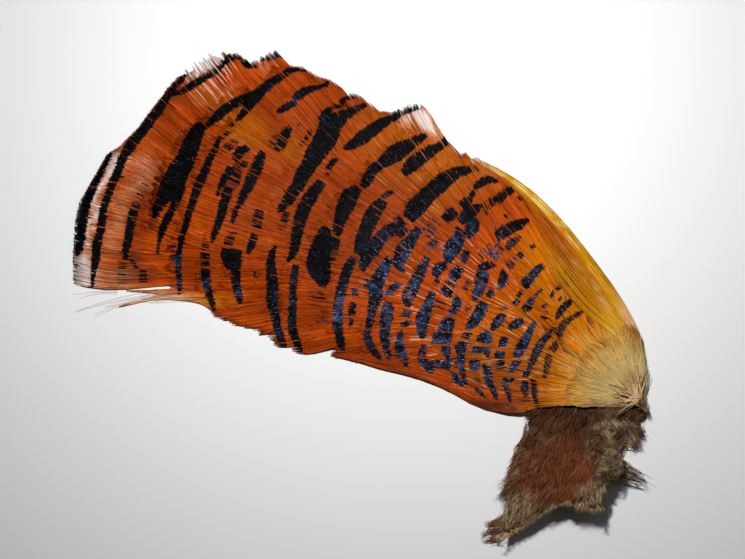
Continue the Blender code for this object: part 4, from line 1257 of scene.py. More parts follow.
def face_finish(settings):
    """Short brown face feathers, rust in the middle and tan at their bases."""
    finish = Finish("face_down", 0.1)
    share, strand, clump = finish.attribute("strand")
    rust, tan, olive = finish.attribute("tint")
    _, y, _ = finish.parts_of(finish.place())
    colour = finish.mix(0.45 * strand + 0.55 * clump, settings.dark_brown, settings.brown)
    # The feathers are darker near the crown, where painted shade lies under the cape's edge, and on the far
    # side pale tan tufts, partly painted light, lie between hollows of painted shade
    colour = finish.layered(
        finish.shaded(colour, 0.72 + 0.28 * (-0.0225 - y).rise(0.0, 0.007)),
        (rust * (0.5 + 0.6 * strand), settings.rust),
        (olive * (clump - 0.2).rise(0.0, 0.35), settings.olive),
        (share.rise(0.45, 0.95) * (0.25 + tan) * (0.4 + 0.8 * strand), settings.face_tan),
        (tan * (strand - 0.2).rise(0.0, 0.5), settings.face_tan),
        # Pale tan on the tufts of the far side, partly painted light
        (0.75 * olive * finish.noise(420.0, 2.0).rise(0.52, 0.6), settings.face_tan),
    )
    stretched = {0: finish.place(), 1: (1.0, 1.0, 0.3)}
    stretched = finish.node("ShaderNodeVectorMath", {"operation": "MULTIPLY"}, stretched)
    # Painted shade in the hollows between the tufts on the far side
    hollow_shade = olive * finish.noise(330.0, 2.0, stretched).rise(0.52, 0.6)
    shade = (1.0 - 0.5 * (0.3 - strand).rise(0.0, 0.2)) * (1.0 - 0.6 * hollow_shade)
    return finish.done(finish.shaded(colour, shade), 0.5 + 0.15 * clump)


def skin_finish(settings):
    """Dried skin: pale cream, darker in random patches, with fine wrinkles."""
    finish = Finish("dried_skin", 0.4)
    finish.set("Subsurface Weight", 0.08)
    finish.set("Subsurface Scale", 0.001)
    patches = finish.noise(180.0, 4.0)
    fine = finish.noise(1400.0, 3.0)
    x, y, _ = finish.parts_of(finish.place())
    # Below this line the skin is feathered, and as dark as what grows there
    edge = (0.75 * x - 0.0506).least(-0.0422)
    colour = finish.layered(
        settings.skin,
        (patches.rise(0.35, 0.68), settings.skin_dark),
        (fine.rise(0.55, 0.75) * 0.5, settings.tan),
        ((y - edge + 0.0006 * (patches - 0.5)).rise(0.0002, 0.0007), settings.dark_brown),
    )
    bump = {"Strength": 0.35, "Distance": 0.0002, "Height": fine}
    finish.set("Normal", finish.node("ShaderNodeBump", {}, bump))
    return finish.done(colour, 0.5 + 0.2 * patches)


# The mantle's barbs: their headings, and how far their tips and roots lie from the crown
MANTLE_HEADINGS = (-9.0, 84.0)
MANTLE_REACH = (8.0, 23.0)
MANTLE_ROOTS = (1.2, 3.5)
MANTLE_OFFSET = (0.8, -0.2)
MANTLE_LIFT = (0.05, 0.22)
MANTLE_CURL = 2.0
MANTLE_RINGS = 11


def add_mantle(settings, finish):
    """The cape's innermost barbs, which fan out from the crown over the longer feathers."""
    random = seeded("mantle")
    count = settings.mantle_barbs
    first, last = MANTLE_HEADINGS
    heading = first + (last - first) * np.sort(random.random(count))
    clump = clumps_of(count, random)
    reach = random.uniform(*MANTLE_REACH, clump.max() + 1)[clump] + random.normal(0.0, 1.0, count)
    # They are shorter by the crest and longer along the lower edge
    reach = reach * (1.0 - 0.35 * smooth_step(55.0, 85.0, heading))
    reach = reach * (1.8 - 0.8 * smooth_step(-2.0, 10.0, heading))
    near = random.uniform(*MANTLE_ROOTS, count)
    share = even(MANTLE_RINGS) ** 1.1
    radius = reach[:, None] + (near - reach)[:, None] * share
    turn = heading[:, None] + wavering(random, 0.35, count, share, 4.0)
    turn = turn + MANTLE_CURL * (radius - 10.0) / 20.0 * np.cos(np.radians(heading * 1.6))[:, None]
    roots = CROWN + MANTLE_OFFSET + random.normal(0.0, 0.3, (count, 2))
    plan, clump = kept_on_cape(roots[:, None] + pointing(turn) * radius[..., None], clump)
    count = len(plan)
    distance = distances(plan)
    height = (cape_top().height(plan) + random.uniform(*MANTLE_LIFT, (count, 1))) * droop(plan)
    half = settings.barb_width / MM / 2.0 * random.uniform(0.5, 0.85, (count, 1))
    half = half * taper(0.25, 2.5, distance) * (1.0 - 0.2 * share)
    twist = random.normal(0.0, 0.35, count)
    layers = barb_layers(plan, distance, clump, random)
    add_strands("mantle_barbs", plan, height, half, 0.5, twist, layers, finish)


# For each crest feather: its strands as a share, the nearest and furthest that they lie inside
# the edge in millimetres, and where along the edge they begin
CREST_BANDS = (
    (1.0, 0.0, 1.9, 0.0, 0.42),
    (1.15, 0.8, 3.8, 0.12, 0.5),
    (0.9, 2.6, 6.2, 0.22, 0.58),
    (0.5, 4.6, 9.0, 0.32, 0.64),
)
CREST_RINGS = 12
CREST_END = 0.985
CREST_LIFT = (0.2, 0.45)
CREST_HALF_WIDTH = 0.06


def crest_edge(along, inward):
    """A place beside the crest's outer edge: along runs from 0 to 1, and inward is in millimetres."""
    points = np.array(CREST_EDGE)
    lengths = distances(points)
    fits = [np.polynomial.Polynomial.fit(lengths / lengths[-1], points[:, axis], 6) for axis in (0, 1)]
    way = unit(np.stack([fit.deriv()(along) for fit in fits], axis=-1))
    return np.stack([fit(along) for fit in fits], axis=-1) - left_of(way) * inward[..., None]


def add_crest_feather(index, settings, finish):
    """One crest feather as long silky strands."""
    name = f"crest_feather_{index + 1}"
    random = seeded("crest_feather", index)
    amount, nearest, furthest, first, last = CREST_BANDS[index]
    count = round(settings.crest_strands * amount)
    inward = np.sort(random.uniform(nearest, furthest, count))
    clump = clumps_of(count, random, 4, 12)
    clump_count = clump.max() + 1
    begin = first + (last - first) * random.random(clump_count)[clump] ** 1.3 + random.gamma(1.2, 0.03, count)
    share = even(CREST_RINGS)
    along = begin[:, None] + (CREST_END - begin)[:, None] * share
    spread = taper(0.3, 0.5, along) * (1.0 - 0.85 * smooth_step(0.55, 1.0, along))
    wave = wavering(random, 0.07, count, share, 4.0)
    loose = np.abs(random.normal(0.0, 0.25, clump_count))[clump][:, None] * (1.0 - share) ** 2
    offset = np.maximum(inward[:, None] * spread + wave + loose, 0.03)
    plan = crest_edge(along, offset)
    height = cape_top().height(plan) + random.uniform(*CREST_LIFT, (count, 1)) + 0.15 * arch(share)
    # The edge curls down halfway along
    height = height * (1.0 - 0.7 * (1.0 - smooth_step(-0.5, 5.0, offset)) * smooth_step(0.35, 0.6, along))
    half = CREST_HALF_WIDTH * random.uniform(0.7, 1.4, (count, 1)) * taper(0.3, 0.2, share)
    strand = strand_layer(zone_weight("outer", plan), clump, random)
    amber = np.maximum(0.45 * smooth_step(1.6, 4.2, offset), zone_weight("amber", plan))
    # Painted highlight along the crest's outer edge near its tips
    crest_highlight = (1.0 - smooth_step(0.9, 2.2, offset)) * (1.0 - smooth_step(0.35, 0.55, along))
    crest_highlight = np.maximum(crest_highlight, zone_weight("crest_highlight", plan))
    brown = (1.0 - smooth_step(0.3, 1.1, offset)) * smooth_step(0.4, 0.55, along) * 0.4
    layers = {"strand": strand, "tint": channels(amber, crest_highlight, brown)}
    twist = random.normal(0.0, 0.5, count)
    add_strands(name + "_strands", plan, height, half, 0.7, twist, layers, finish, (name,))


def crown_layers(plan, share, clump, random):
    """The strand and tint layers of barbs near the crown."""
    strand = strand_layer(share, clump, random)
    reach = np.linalg.norm(plan - CROWN, axis=-1) + random.normal(0.0, 1.4, (len(plan), 1))
    golden = smooth_step(8.0, 13.0, reach)
    tint = channels(golden, zone_weight("crown_brown", plan), zone_weight("quills", plan))
    return {"strand": strand, "tint": tint}


# Each crown feather: its tip, bend and root in millimetres, and its width
CROWN_FEATHERS = (
    ((12.6, -18.6), (20.0, -20.0), (23.4, -20.2), 10.5),
    ((16.6, -9.4), (21.4, -14.0), (24.4, -17.6), 11.5),
    ((25.4, -4.4), (27.8, -10.6), (27.8, -16.2), 7.0),
)
CROWN_RINGS = 10
CROWN_BARBS_PER_MM = 14.0
CROWN_JOIN = 0.99
CROWN_HALF_WIDTH = 0.08


def add_crown_feather(index, finish):
    """One crown feather as soft, loose barbs."""
    name = f"crown_feather_{index + 1}"
    random = seeded("crown_feather", index)
    tip, bend, root, width = CROWN_FEATHERS[index]
    shaft = Shaft(tip, bend, root, width, 0.6, 0.3)
    surface = Surface(node_points(name))
    count = round(CROWN_BARBS_PER_MM * width)
    across = np.sort(random.uniform(-1.0, 1.0, count))
    clump = clumps_of(count, random, 2, 6)
    start = np.clip(random.gamma(1.5, 0.10, count) + 0.2 * across**2, 0.0, 0.6)
    share = even(CROWN_RINGS)
    t = start[:, None] + (CROWN_JOIN - start)[:, None] * share
    wave = wavering(random, 0.06, count, share, 5.0)
    plan, clump = kept_on_cape(shaft.place(t, across[:, None] + wave), clump)
    count = len(plan)
    height = surface.height(plan) + random.uniform(0.0, 0.15, (count, 1)) * arch(share) + 0.1
    half = CROWN_HALF_WIDTH * random.uniform(0.7, 1.3, (count, 1)) * taper(0.4, 0.15, share)
    twist = random.normal(0.0, 0.5, count)
    layers = crown_layers(plan, share, clump, random)
    height = height * droop(plan)
    add_strands(name + "_barbs", plan, height, half, 0.7, twist, layers, finish, (name,))


TUFT_HEADINGS = (-8.0, 104.0)
TUFT_RINGS = 8
TUFT_LENGTH = (4.0, 11.0)
TUFT_OFFSET = (1.6, -0.6)
TUFT_LIFT = (0.1, 0.3)
TUFT_HALF_WIDTH = 0.052


def add_crown_tuft(settings, finish):
    """Loose cream barbs that fan out from the crown."""
    random = seeded("crown_tuft")
    count = settings.crown_hairs
    heading = np.sort(random.uniform(*TUFT_HEADINGS, count))
    clump = clumps_of(count, random, 3, 8)
    ways = pointing(heading)
    begin = CROWN + TUFT_OFFSET + random.normal(0.0, 0.7, (count, 2))
    begin = begin + ways * random.uniform(0.0, 3.0, (count, 1))
    shortest, longer = TUFT_LENGTH
    length = shortest + longer * random.random(count) ** 1.3
    tips = begin + ways * length[:, None]
    bend = begin + ways * length[:, None] * 0.5 + random.normal(0.0, 0.5, (count, 2))
    share = even(TUFT_RINGS)
    plan, clump = kept_on_cape(bent_paths(tips, bend, begin, share), clump)
    count = len(plan)
    height = (cape_top().height(plan) + random.uniform(*TUFT_LIFT, (count, 1))) * droop(plan)
    half = TUFT_HALF_WIDTH * random.uniform(0.7, 1.3, (count, 1)) * taper(0.25, 0.35, share)
    twist = random.normal(0.0, 0.5, count)
    layers = crown_layers(plan, share, clump, random)
    add_strands("crown_tuft", plan, height, half, 0.8, twist, layers, finish)


QUILL_COUNT = 64
QUILL_RINGS = 7
QUILL_HEADINGS = (-40.0, 115.0)
QUILL_LENGTHS = (1.6, 6.5)
QUILL_OFFSET = (0.9, -0.6)
QUILL_LIFT = (0.3, 1.4)
QUILL_HALF_WIDTHS = (0.08, 0.24)
# No quill lies lower, in millimetres, so that those over the flap stay above its feathers
QUILL_LEVEL = 3.6
DARK_QUILLS = 0.35


def add_quills(finish):
    """The knot of cut quills where the cape was joined to the crown."""
    random = seeded("quills")
    count = QUILL_COUNT
    ways = pointing(random.uniform(*QUILL_HEADINGS, count))
    begin = CROWN + QUILL_OFFSET + random.normal(0.0, 0.55, (count, 2))
    length = random.uniform(*QUILL_LENGTHS, count)
    share = even(QUILL_RINGS)
    bent = random.normal(0.0, 0.25, (count, 2))[:, None] * arch(share)[:, None]
    plan = begin[:, None] + ways[:, None] * (length[:, None] * (1.0 - share))[..., None] + bent
    height = (cape_top().height(plan) + random.uniform(*QUILL_LIFT, (count, 1)) + 0.3 * share) * droop(plan)
    height = np.maximum(height, QUILL_LEVEL)
    half = random.uniform(*QUILL_HALF_WIDTHS, (count, 1)) * (0.3 + 0.7 * share)
    strand = strand_layer(share, np.arange(count), random)
    dark = 1.0 * (random.random((count, 1)) < DARK_QUILLS)
    layers = {"strand": strand, "tint": channels(0.0 * share, dark, 0.4)}
    add_strands("quill_knot", plan, height, half, 0.9, np.zeros(count), layers, finish)


FLAP_RISE = 6.5


def flap_rise(plan):
    """How far the dried flap has curled up off the paper, in millimetres."""
    down = smooth_step(0.0, 17.0, -24.0 - plan[..., 1])
    return FLAP_RISE * down * (0.3 + 0.7 * smooth_step(3.0, 20.0, plan[..., 0]))


def skin_height(plan, missed):
    """How high the skin stands in millimetres; missed is the height beside it."""
    found = [top_of(tree_over(SKIN_NODE), x, y) for x, y in plan]
    return np.array([missed if top is None else top for top in found]) + flap_rise(plan)


def add_skin(settings, finish):
    """The skin, its hard folds softened and wrinkled."""
    mesh = bmesh.new()
    mesh.from_mesh(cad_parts[SKIN_NODE].data)
    bmesh.ops.remove_doubles(mesh, verts=mesh.verts, dist=0.00002)
    bmesh.ops.recalc_face_normals(mesh, faces=mesh.faces)
    for vertex in mesh.verts:
        vertex.co.z += float(flap_rise(np.array(vertex.co[:2]) / MM)) * MM
    piece = linked_mesh("skin_and_face", mesh)
    remesh = piece.modifiers.new("even_mesh", "REMESH")
    remesh.mode = "VOXEL"
    remesh.voxel_size = settings.skin_mesh
    wrinkles = bpy.data.textures.new("skin_wrinkles", "CLOUDS")
    wrinkles.noise_scale = 0.0022
    displace = piece.modifiers.new("wrinkles", "DISPLACE")
    displace.texture = wrinkles
    displace.texture_coords = "LOCAL"
    displace.strength = 0.0004
    displace.mid_level = 0.7
    place_piece(piece, finish, (SKIN_NODE,))


# The face feathers fan out from this place and grow below FACE_TOP, in millimetres
FACE_FAN = np.array((20.0, -12.0))
FACE_TOP = -21.0
FACE_RINGS = 5
FACE_CLUMP_SIZE = 22
FACE_LENGTHS = (2.6, 4.6)
FACE_DRAWN = 0.68
FACE_SHORTENING = 0.78


def face_ways(places, clump, clump_count, random):
    """The ways that the face feathers point, which are messy on the far side."""
    ways = unit(places - FACE_FAN)
    turn = random.normal(0.0, 0.16, clump_count)[clump] + random.normal(0.0, 0.12, len(places))
    turn = turn + zone_weight("messy", places) * random.normal(0.0, 1.3, clump_count)[clump]
    return ways * np.cos(turn)[:, None] + left_of(ways) * np.sin(turn)[:, None]


def add_face_down(settings, finish):
    """The short brown feathers of the face, in clumps that fan down over the flap."""
    random = seeded("face_down")
    outline = np.array(FLAP_OUTLINE)
    low, high = outline.min(axis=0) - 0.5, outline.max(axis=0) + 0.5
    places = random.uniform(low, high, (settings.face_hairs * 4, 2))
    places = places[inside_outline(places, FLAP_OUTLINE) & (places[:, 1] < FACE_TOP)][: settings.face_hairs]
    count = len(places)
    centres = places[random.choice(count, count // FACE_CLUMP_SIZE, replace=False)]
    clump = np.argmin(((places[:, None] - centres[None]) ** 2).sum(axis=-1), axis=1)
    clump_roll = random.random(len(centres))
    ways = face_ways(places, clump, len(centres), random)
    length = random.uniform(*FACE_LENGTHS, count) * (0.8 + 0.4 * clump_roll[clump])
    share = even(FACE_RINGS)
    # Tip first: each barb runs back to its root, and a clump's tips draw together
    clump_tip = centres[clump] + ways * (length.mean() + 0.6)
    tips = places + ways * length[:, None]
    tips = tips + (clump_tip - tips) * FACE_DRAWN
    # A barb that would pass the outline is cut shorter
    short = np.ones((count, 1))
    for _ in range(OUTLINE_STEPS):
        inside = inside_outline(places + (tips - places) * short, FACE_OUTLINE)
        short = np.where(inside[:, None], short, short * FACE_SHORTENING)
    tips = places + (tips - places) * short
    bend = places + ways * length[:, None] * short * 0.5 + random.normal(0.0, 0.18, (count, 2))
    plan = bent_paths(tips, bend, places, share)
    kept = inside_outline(plan[:, 0], FACE_OUTLINE)
    plan, places, tips, clump = plan[kept], places[kept], tips[kept], clump[kept]
    count = len(plan)
    root_height = skin_height(places, 1.0)
    tip_height = np.maximum(skin_height(tips, 0.4) + 0.25, root_height - 1.2)
    rise = random.uniform(0.3, 1.2, count)[:, None] * arch(share) * 0.7
    height = tip_height[:, None] * (1 - share) + (root_height[:, None] - 0.15) * share + rise
    half = settings.face_hair_width / MM / 2.0
    half = half * random.uniform(0.7, 1.3, (count, 1)) * taper(0.25, 0.5, share)
    strand = channels(share, random.random((count, 1)), clump_roll[clump][:, None])
    layers = {"strand": strand, "tint": zone_layer(plan, "rust", "tan", "olive")}
    twist = random.normal(0.0, 0.6, count)
    add_strands("face_down", plan, height, half, 0.8, twist, layers, finish, (SKIN_NODE,))


# Locks that stand clear of the flap: tip, bend and root in millimetres, how far up each lies,
# how many barbs it has, and how olive it is. The first two are the rims of an eye hole.
FACE_LOCKS = (
    ((31.1, -37.8), (28.4, -35.6), (23.6, -33.4), 3.6, 26, 0.8),
    ((30.8, -37.9), (26.8, -37.3), (22.4, -36.0), 3.6, 26, 0.8),
    ((29.6, -30.4), (28.4, -30.0), (25.4, -29.2), 3.0, 20, 0.8),
    ((30.6, -27.0), (29.2, -27.0), (26.0, -26.6), 2.4, 20, 0.8),
    ((30.4, -23.4), (29.9, -22.0), (28.4, -20.6), 4.2, 44, 0.8),
    ((-3.4, -47.2), (-1.9, -46.9), (1.2, -45.6), 0.8, 26, 0.2),
    ((-4.3, -49.4), (-2.6, -48.7), (0.6, -47.4), 0.8, 26, 0.1),
    ((-4.5, -51.0), (-2.8, -50.6), (0.2, -49.2), 0.7, 22, 0.0),
    ((-0.3, -39.0), (0.6, -40.0), (2.6, -42.6), 1.2, 16, 0.1),
    ((5.0, -24.4), (6.0, -22.9), (7.6, -20.8), 1.8, 26, 0.0),
    ((3.5, -31.4), (4.9, -29.6), (7.0, -26.6), 1.7, 40, 0.0),
    ((1.7, -33.8), (3.2, -32.2), (5.8, -29.8), 1.6, 48, 0.0),
    ((0.9, -36.6), (2.4, -35.0), (5.0, -32.4), 1.5, 48, 0.0),
    ((0.0, -39.2), (1.7, -37.6), (4.2, -35.2), 1.4, 48, 0.1),
    ((-0.8, -41.8), (0.9, -40.2), (3.4, -38.2), 1.3, 48, 0.1),
)
LOCK_RINGS = 6
LOCK_LIFT = (-0.2, 0.4)
LOCK_HALF_WIDTH = 0.075
LOCK_LOOSENESS = (0.45, 0.5, 0.9)
LOCK_RUST, LOCK_TAN = 0.35, 0.15


def add_face_locks(finish):
    """Loose locks at the flap's edge."""
    random = seeded("face_locks")
    share = even(LOCK_RINGS)
    ends, levels, olives = [], [], []
    for *lock, level, strands, olive in FACE_LOCKS:
        for _ in range(strands):
            tip, bend, root = (
                np.array(place) + random.normal(0.0, loose, 2) for place, loose in zip(lock, LOCK_LOOSENESS)
            )
            ends.append((tip + (root - tip) * random.uniform(0.0, 0.7), bend, root))
            levels.append(level)
            olives.append(olive)
    count = len(ends)
    plan = bent_paths(*np.swapaxes(ends, 0, 1), share)
    height = np.array(levels)[:, None] * (1.0 - 0.25 * share) + random.uniform(*LOCK_LIFT, (count, 1))
    strand = strand_layer(share, np.arange(count), random)
    tint = channels(LOCK_RUST, LOCK_TAN, np.array(olives)[:, None] + 0.0 * share)
    half = LOCK_HALF_WIDTH * random.uniform(0.7, 1.2, (count, 1)) * taper(0.35, 0.4, share)
    layers = {"strand": strand, "tint": tint}
    add_strands("face_locks", plan, height, half, 0.9, np.zeros(count), layers, finish)


CUT_EDGE_BARBS = 620
CUT_EDGE_RINGS = 5
CUT_EDGE_HALF_WIDTH = 0.05
CUT_EDGE_OLIVE = 0.3


def add_cut_edge(finish):
    """The pale fringe along the flap's cut edge."""
    random = seeded("cut_edge")
    count = CUT_EDGE_BARBS
    line = np.array(CUT_EDGE)
    lengths = distances(line)
    at = np.sort(random.uniform(0.0, lengths[-1], count))
    way = unit(places_along(line, lengths, at + 0.6) - places_along(line, lengths, at - 0.6))
    out = -left_of(way)
    lean = random.normal(0.0, 0.5, (count, 1))
    roots = places_along(line, lengths, at) - out * random.uniform(0.2, 1.1, (count, 1))
    far = smooth_step(lengths[-1] * 0.55, lengths[-1] * 0.8, at)[:, None]
    reach = 0.2 + 0.8 * far * random.random((count, 1))
    share = even(CUT_EDGE_RINGS)
    tips = roots + (out + way * lean) * (reach + random.uniform(0.2, 1.0, (count, 1)))
    plan = tips[:, None] + (roots - tips)[:, None] * share[:, None]
    level = skin_height(roots, 0.6)[:, None] + 0.12
    height = level + random.uniform(0.0, 0.3, (count, 1)) * arch(share) - 0.25 * (1.0 - share)
    strand = strand_layer(1.0 - 0.3 * share, np.arange(count), random)
    half = CUT_EDGE_HALF_WIDTH * random.uniform(0.6, 1.2, (count, 1)) * (0.4 + 0.6 * share)
    layers = {"strand": strand, "tint": np.broadcast_to((0.0, 0.0, CUT_EDGE_OLIVE), strand.shape)}
    add_strands("cut_edge", plan, height, half, 0.9, np.zeros(count), layers, finish)


EDGE_RINGS = 7
EDGE_LENGTHS = (6.0, 14.0)
EDGE_LIFT = (-0.2, 0.05)
EDGE_LEAST_HEIGHT = 0.15


def add_edge_barbs(number, settings, finish):
    """Barbs that close the cape's lower edge: they run along it."""
    random = seeded("edge_barbs", number)
    count, line = EDGE_BANDS[number]
    line = np.array(line)
    lengths = distances(line[:, :2])
    begin = random.uniform(0.0, lengths[-1] - 4.0, count)
    along = begin[:, None] + random.uniform(*EDGE_LENGTHS, (count, 1)) * even(EDGE_RINGS)
    # Rings held at the line's ends stay a little apart
    apart = 0.001 * np.arange(EDGE_RINGS)
    along = np.clip(along, apart, lengths[-1] + apart)
    depth = np.interp(along, lengths, line[:, 2])
    way = unit(places_along(line, lengths, along + 1.0) - places_along(line, lengths, along - 1.0))
    inward = random.random((count, 1)) ** 1.2 * depth
    plan = places_along(line, lengths, along) + left_of(way) * inward[..., None]
    height = cape_top().height(plan) * droop(plan) + random.uniform(*EDGE_LIFT, (count, 1))
    height = np.maximum(height, EDGE_LEAST_HEIGHT)
    distance = distances(plan)
    half = settings.barb_width / MM / 2.0 * random.uniform(0.7, 1.1, (count, 1)) * taper(0.3, 2.0, distance)
    layers = barb_layers(plan, distance, clumps_of(count, random), random)
    twist = random.normal(0.0, 0.35, count)
    add_strands(f"edge_barbs_{number + 1}", plan, height, half, 0.6, twist, layers, finish)


# Loose barbs past the lower edge: tip, bend and root in millimetres
STRAYS = (
    ((-85.0, -3.6), (-76.0, 1.2), (-67.6, 1.7)),
    ((-89.0, -2.5), (-80.0, 0.4), (-71.4, 2.1)),
    ((-89.5, 0.0), (-84.0, 1.6), (-79.8, 2.1)),
    ((-83.0, -1.7), (-76.0, 0.0), (-69.0, 0.6)),
    ((-79.8, -1.3), (-74.0, 0.6), (-66.0, 1.2)),
    ((-75.6, 0.4), (-71.0, 1.0), (-62.0, 0.2)),
    ((-73.5, -0.6), (-69.0, 0.8), (-61.0, 0.6)),
)
STRAY_RINGS = 14
STRAYS_EACH = 2
STRAY_DUSK = 0.8
# Their height and half width at the tip, and how much each gains towards the root
STRAY_HEIGHT, STRAY_RISE = 0.25, 0.9
STRAY_HALF_WIDTH, STRAY_GROWTH = 0.014, 0.03


def add_stray_barbs(finish):
    """Loose barbs that stand away from the lower edge."""
    random = seeded("stray_barbs")
    share = even(STRAY_RINGS)
    ends = [
        [np.array(place) + random.normal(0.0, 0.4, 2) for place in stray]
        for stray in STRAYS
        for _ in range(STRAYS_EACH)
    ]
    count = len(ends)
    plan = bent_paths(*np.swapaxes(ends, 0, 1), share)
    height = STRAY_HEIGHT + STRAY_RISE * share + random.uniform(0.0, 0.25, (count, 1))
    layers = barb_layers(plan, distances(plan), np.arange(count), random)
    layers["gloss"][..., 2] = STRAY_DUSK
    half = STRAY_HALF_WIDTH + STRAY_GROWTH * share * np.ones((count, 1))
    add_strands("stray_barbs", plan, height, half, 0.8, np.zeros(count), layers, finish)


def add_floor(settings):
    """A broad sheet of plain pale paper."""
    mesh = bmesh.new()
    bmesh.ops.create_grid(mesh, x_segments=1, y_segments=1, size=settings.floor_size / 2.0)
    floor = linked_mesh("paper_floor", mesh)
    finish = Finish("white_paper", 0.1)
    fibre = finish.noise(60.0, 3.0)
    colour = finish.mix(fibre, settings.paper, settings.paper * 0.985)
    floor.data.materials.append(finish.done(colour, 0.9 - 0.05 * fibre))


SENSOR_WIDTH = 36.0


def add_camera(settings):
    """The camera looks almost straight down."""
    data = bpy.data.cameras.new("camera")
    data.lens = settings.lens
    data.sensor_width = SENSOR_WIDTH
    camera = linked("camera", data)
    lean = settings.elevation
    towards = Vector((0.0, -math.cos(lean), math.sin(lean)))
    camera.location = Vector(settings.aim) + towards * settings.camera_distance
    camera.rotation_euler = (-towards).to_track_quat("-Z", "Y").to_euler()
    bpy.context.scene.camera = camera


def add_area_light(name, place, size, power):
    """A square soft light that faces straight down."""
    data = bpy.data.lights.new(name, "AREA")
    data.size = size
    data.energy = power
    linked(name, data).location = place


def add_light(settings):
    """A key light over the cape, a soft fill beside it and a pale surround."""
    add_area_light("key_light", settings.key_place, settings.key_size, settings.key_power)
    add_area_light("fill_light", settings.fill_place, settings.fill_size, settings.fill_power)
    world = bpy.data.worlds.new("studio")
    world.use_nodes = True
    background = world.node_tree.nodes["Background"]
    background.inputs["Color"].default_value = (1.0, 1.0, 1.0, 1.0)
    background.inputs["Strength"].default_value = settings.surround
    bpy.context.scene.world = world


def number_property(value, name, description, **limits):
    return bpy.props.FloatProperty(name=name, description=description, default=value, **limits)


def count_property(value, name, description):
    return bpy.props.IntProperty(name=name, description=description, default=value)


def length_property(value, name, description):
    return number_property(value, name, description, unit="LENGTH", precision=5)


def vector_property(value, name, description, **kind):
    return bpy.props.FloatVectorProperty(name=name, description=description, default=value, **kind)


def colour_property(value, name, description):
    return vector_property(linear(*value), name, description, subtype="COLOR", min=0.0, max=1.0)


def place_property(value, name, description):
    return vector_property(value, name, description, subtype="TRANSLATION")


class TippetFeatherSettings(bpy.types.PropertyGroup):
    """Sizes and colours of the tippet's own feathers."""

    barb_pitch: length_property(0.00011, "Barb pitch", "Distance between barbs at a feather's tip")
    barb_width: length_property(0.00023, "Barb width", "Width of one barb")
    tip_dip: length_property(0.00018, "Tip dip", "How far a barb's tip sinks into the feather below")
    mantle_barbs: count_property(1700, "Mantle barbs", "Barbs that fan out from the crown")
    clumping: number_property(0.22, "Clumping", "Most that barbs' tips draw together", min=0.0, max=1.0)
    deep_orange: colour_property((144, 40, 6), "Deep orange", "Darker barbs")
    bright_orange: colour_property((230, 100, 14), "Bright orange", "Lighter barbs")
    deep_red: colour_property((120, 34, 6), "Deep red", "Barbs in the reddest patches")
    # Also the painted shade along the cape's lower edge
    dull_brown_and_edge_shade: colour_property((96, 50, 26), "Dusk brown", "Dull brown barbs")
    gold: colour_property((228, 140, 6), "Gold", "Barbs near the crest and the crown")
    bright_gold: colour_property((236, 168, 40), "Bright gold", "A golden ring around the crown")
    cream: colour_property((230, 190, 104), "Cream", "Barbs beside the crown")
    pale_pink: colour_property((250, 228, 220), "Pale pink", "Faded barb tips")
    faded_orange: colour_property((234, 168, 116), "Faded orange", "Barbs that have begun to fade")
    # The glint, the bars' blue sheen and their bright flecks are painted highlight and sheen
    glint: colour_property((255, 212, 160), "Glint", "Thin glints on the barbs")
    bar_black: colour_property((13, 11, 12), "Bar black", "The dark bars")
    bar_blue_sheen: colour_property((68, 88, 130), "Bar blue", "The gloss on the dark bars")
    bar_highlight: colour_property((150, 164, 200), "Bar fleck", "Bright flecks on the dark bars")


class TippetDownSettings(bpy.types.PropertyGroup):
    """Sizes and colours of the crest, the crown and the face."""

    crest_strands: count_property(380, "Crest strands", "Strands in each crest feather")
    crown_hairs: count_property(2050, "Crown barbs", "Loose barbs on the crown")
    face_hairs: count_property(6800, "Face barbs", "Short feathers' barbs on the flap")
    face_hair_width: length_property(0.00010, "Face barb width", "Width of one barb on the flap")
    skin_mesh: length_property(0.0007, "Skin mesh", "Size of the skin's faces")
    deep_gold: colour_property((188, 116, 2), "Deep gold", "Darker crest strands")
    bright_gold: colour_property((244, 184, 6), "Bright gold", "Lighter crest strands")
    # Painted highlight on the crest
    gold_light: colour_property((250, 232, 150), "Gold light", "Crest strands that catch the light")
    amber: colour_property((190, 92, 2), "Amber", "The crest's inner side")
    outer_cream: colour_property((232, 186, 150), "Outer cream", "The crest's outer edge by the crown")
    crest_brown: colour_property((112, 60, 26), "Crest brown", "The crest's outer edge and dark streaks")
    gold: colour_property((214, 148, 30), "Gold", "Golden barb tips around the crown")
    cream: colour_property((236, 212, 144), "Cream", "Crown barbs")
    face_tan: colour_property((208, 182, 142), "Face tan", "Face feathers' bases")
    tan: colour_property((210, 172, 106), "Tan", "Barb bases")
    pale_pink: colour_property((226, 184, 160), "Pale pink", "Quills at the crown's edge")
    dark_brown: colour_property((66, 36, 24), "Dark brown", "Darker face feathers")
    brown: colour_property((136, 78, 44), "Brown", "Lighter face feathers")
    rust: colour_property((150, 78, 44), "Rust", "Face feathers in the middle of the flap")
    olive: colour_property((116, 94, 64), "Olive", "Face feathers on the flap's far side")
    skin: colour_property((206, 184, 150), "Skin", "Dried skin")
    # Laid on in random patches of the skin
    skin_dark: colour_property((170, 132, 96), "Dark skin", "Dried skin in its folds")


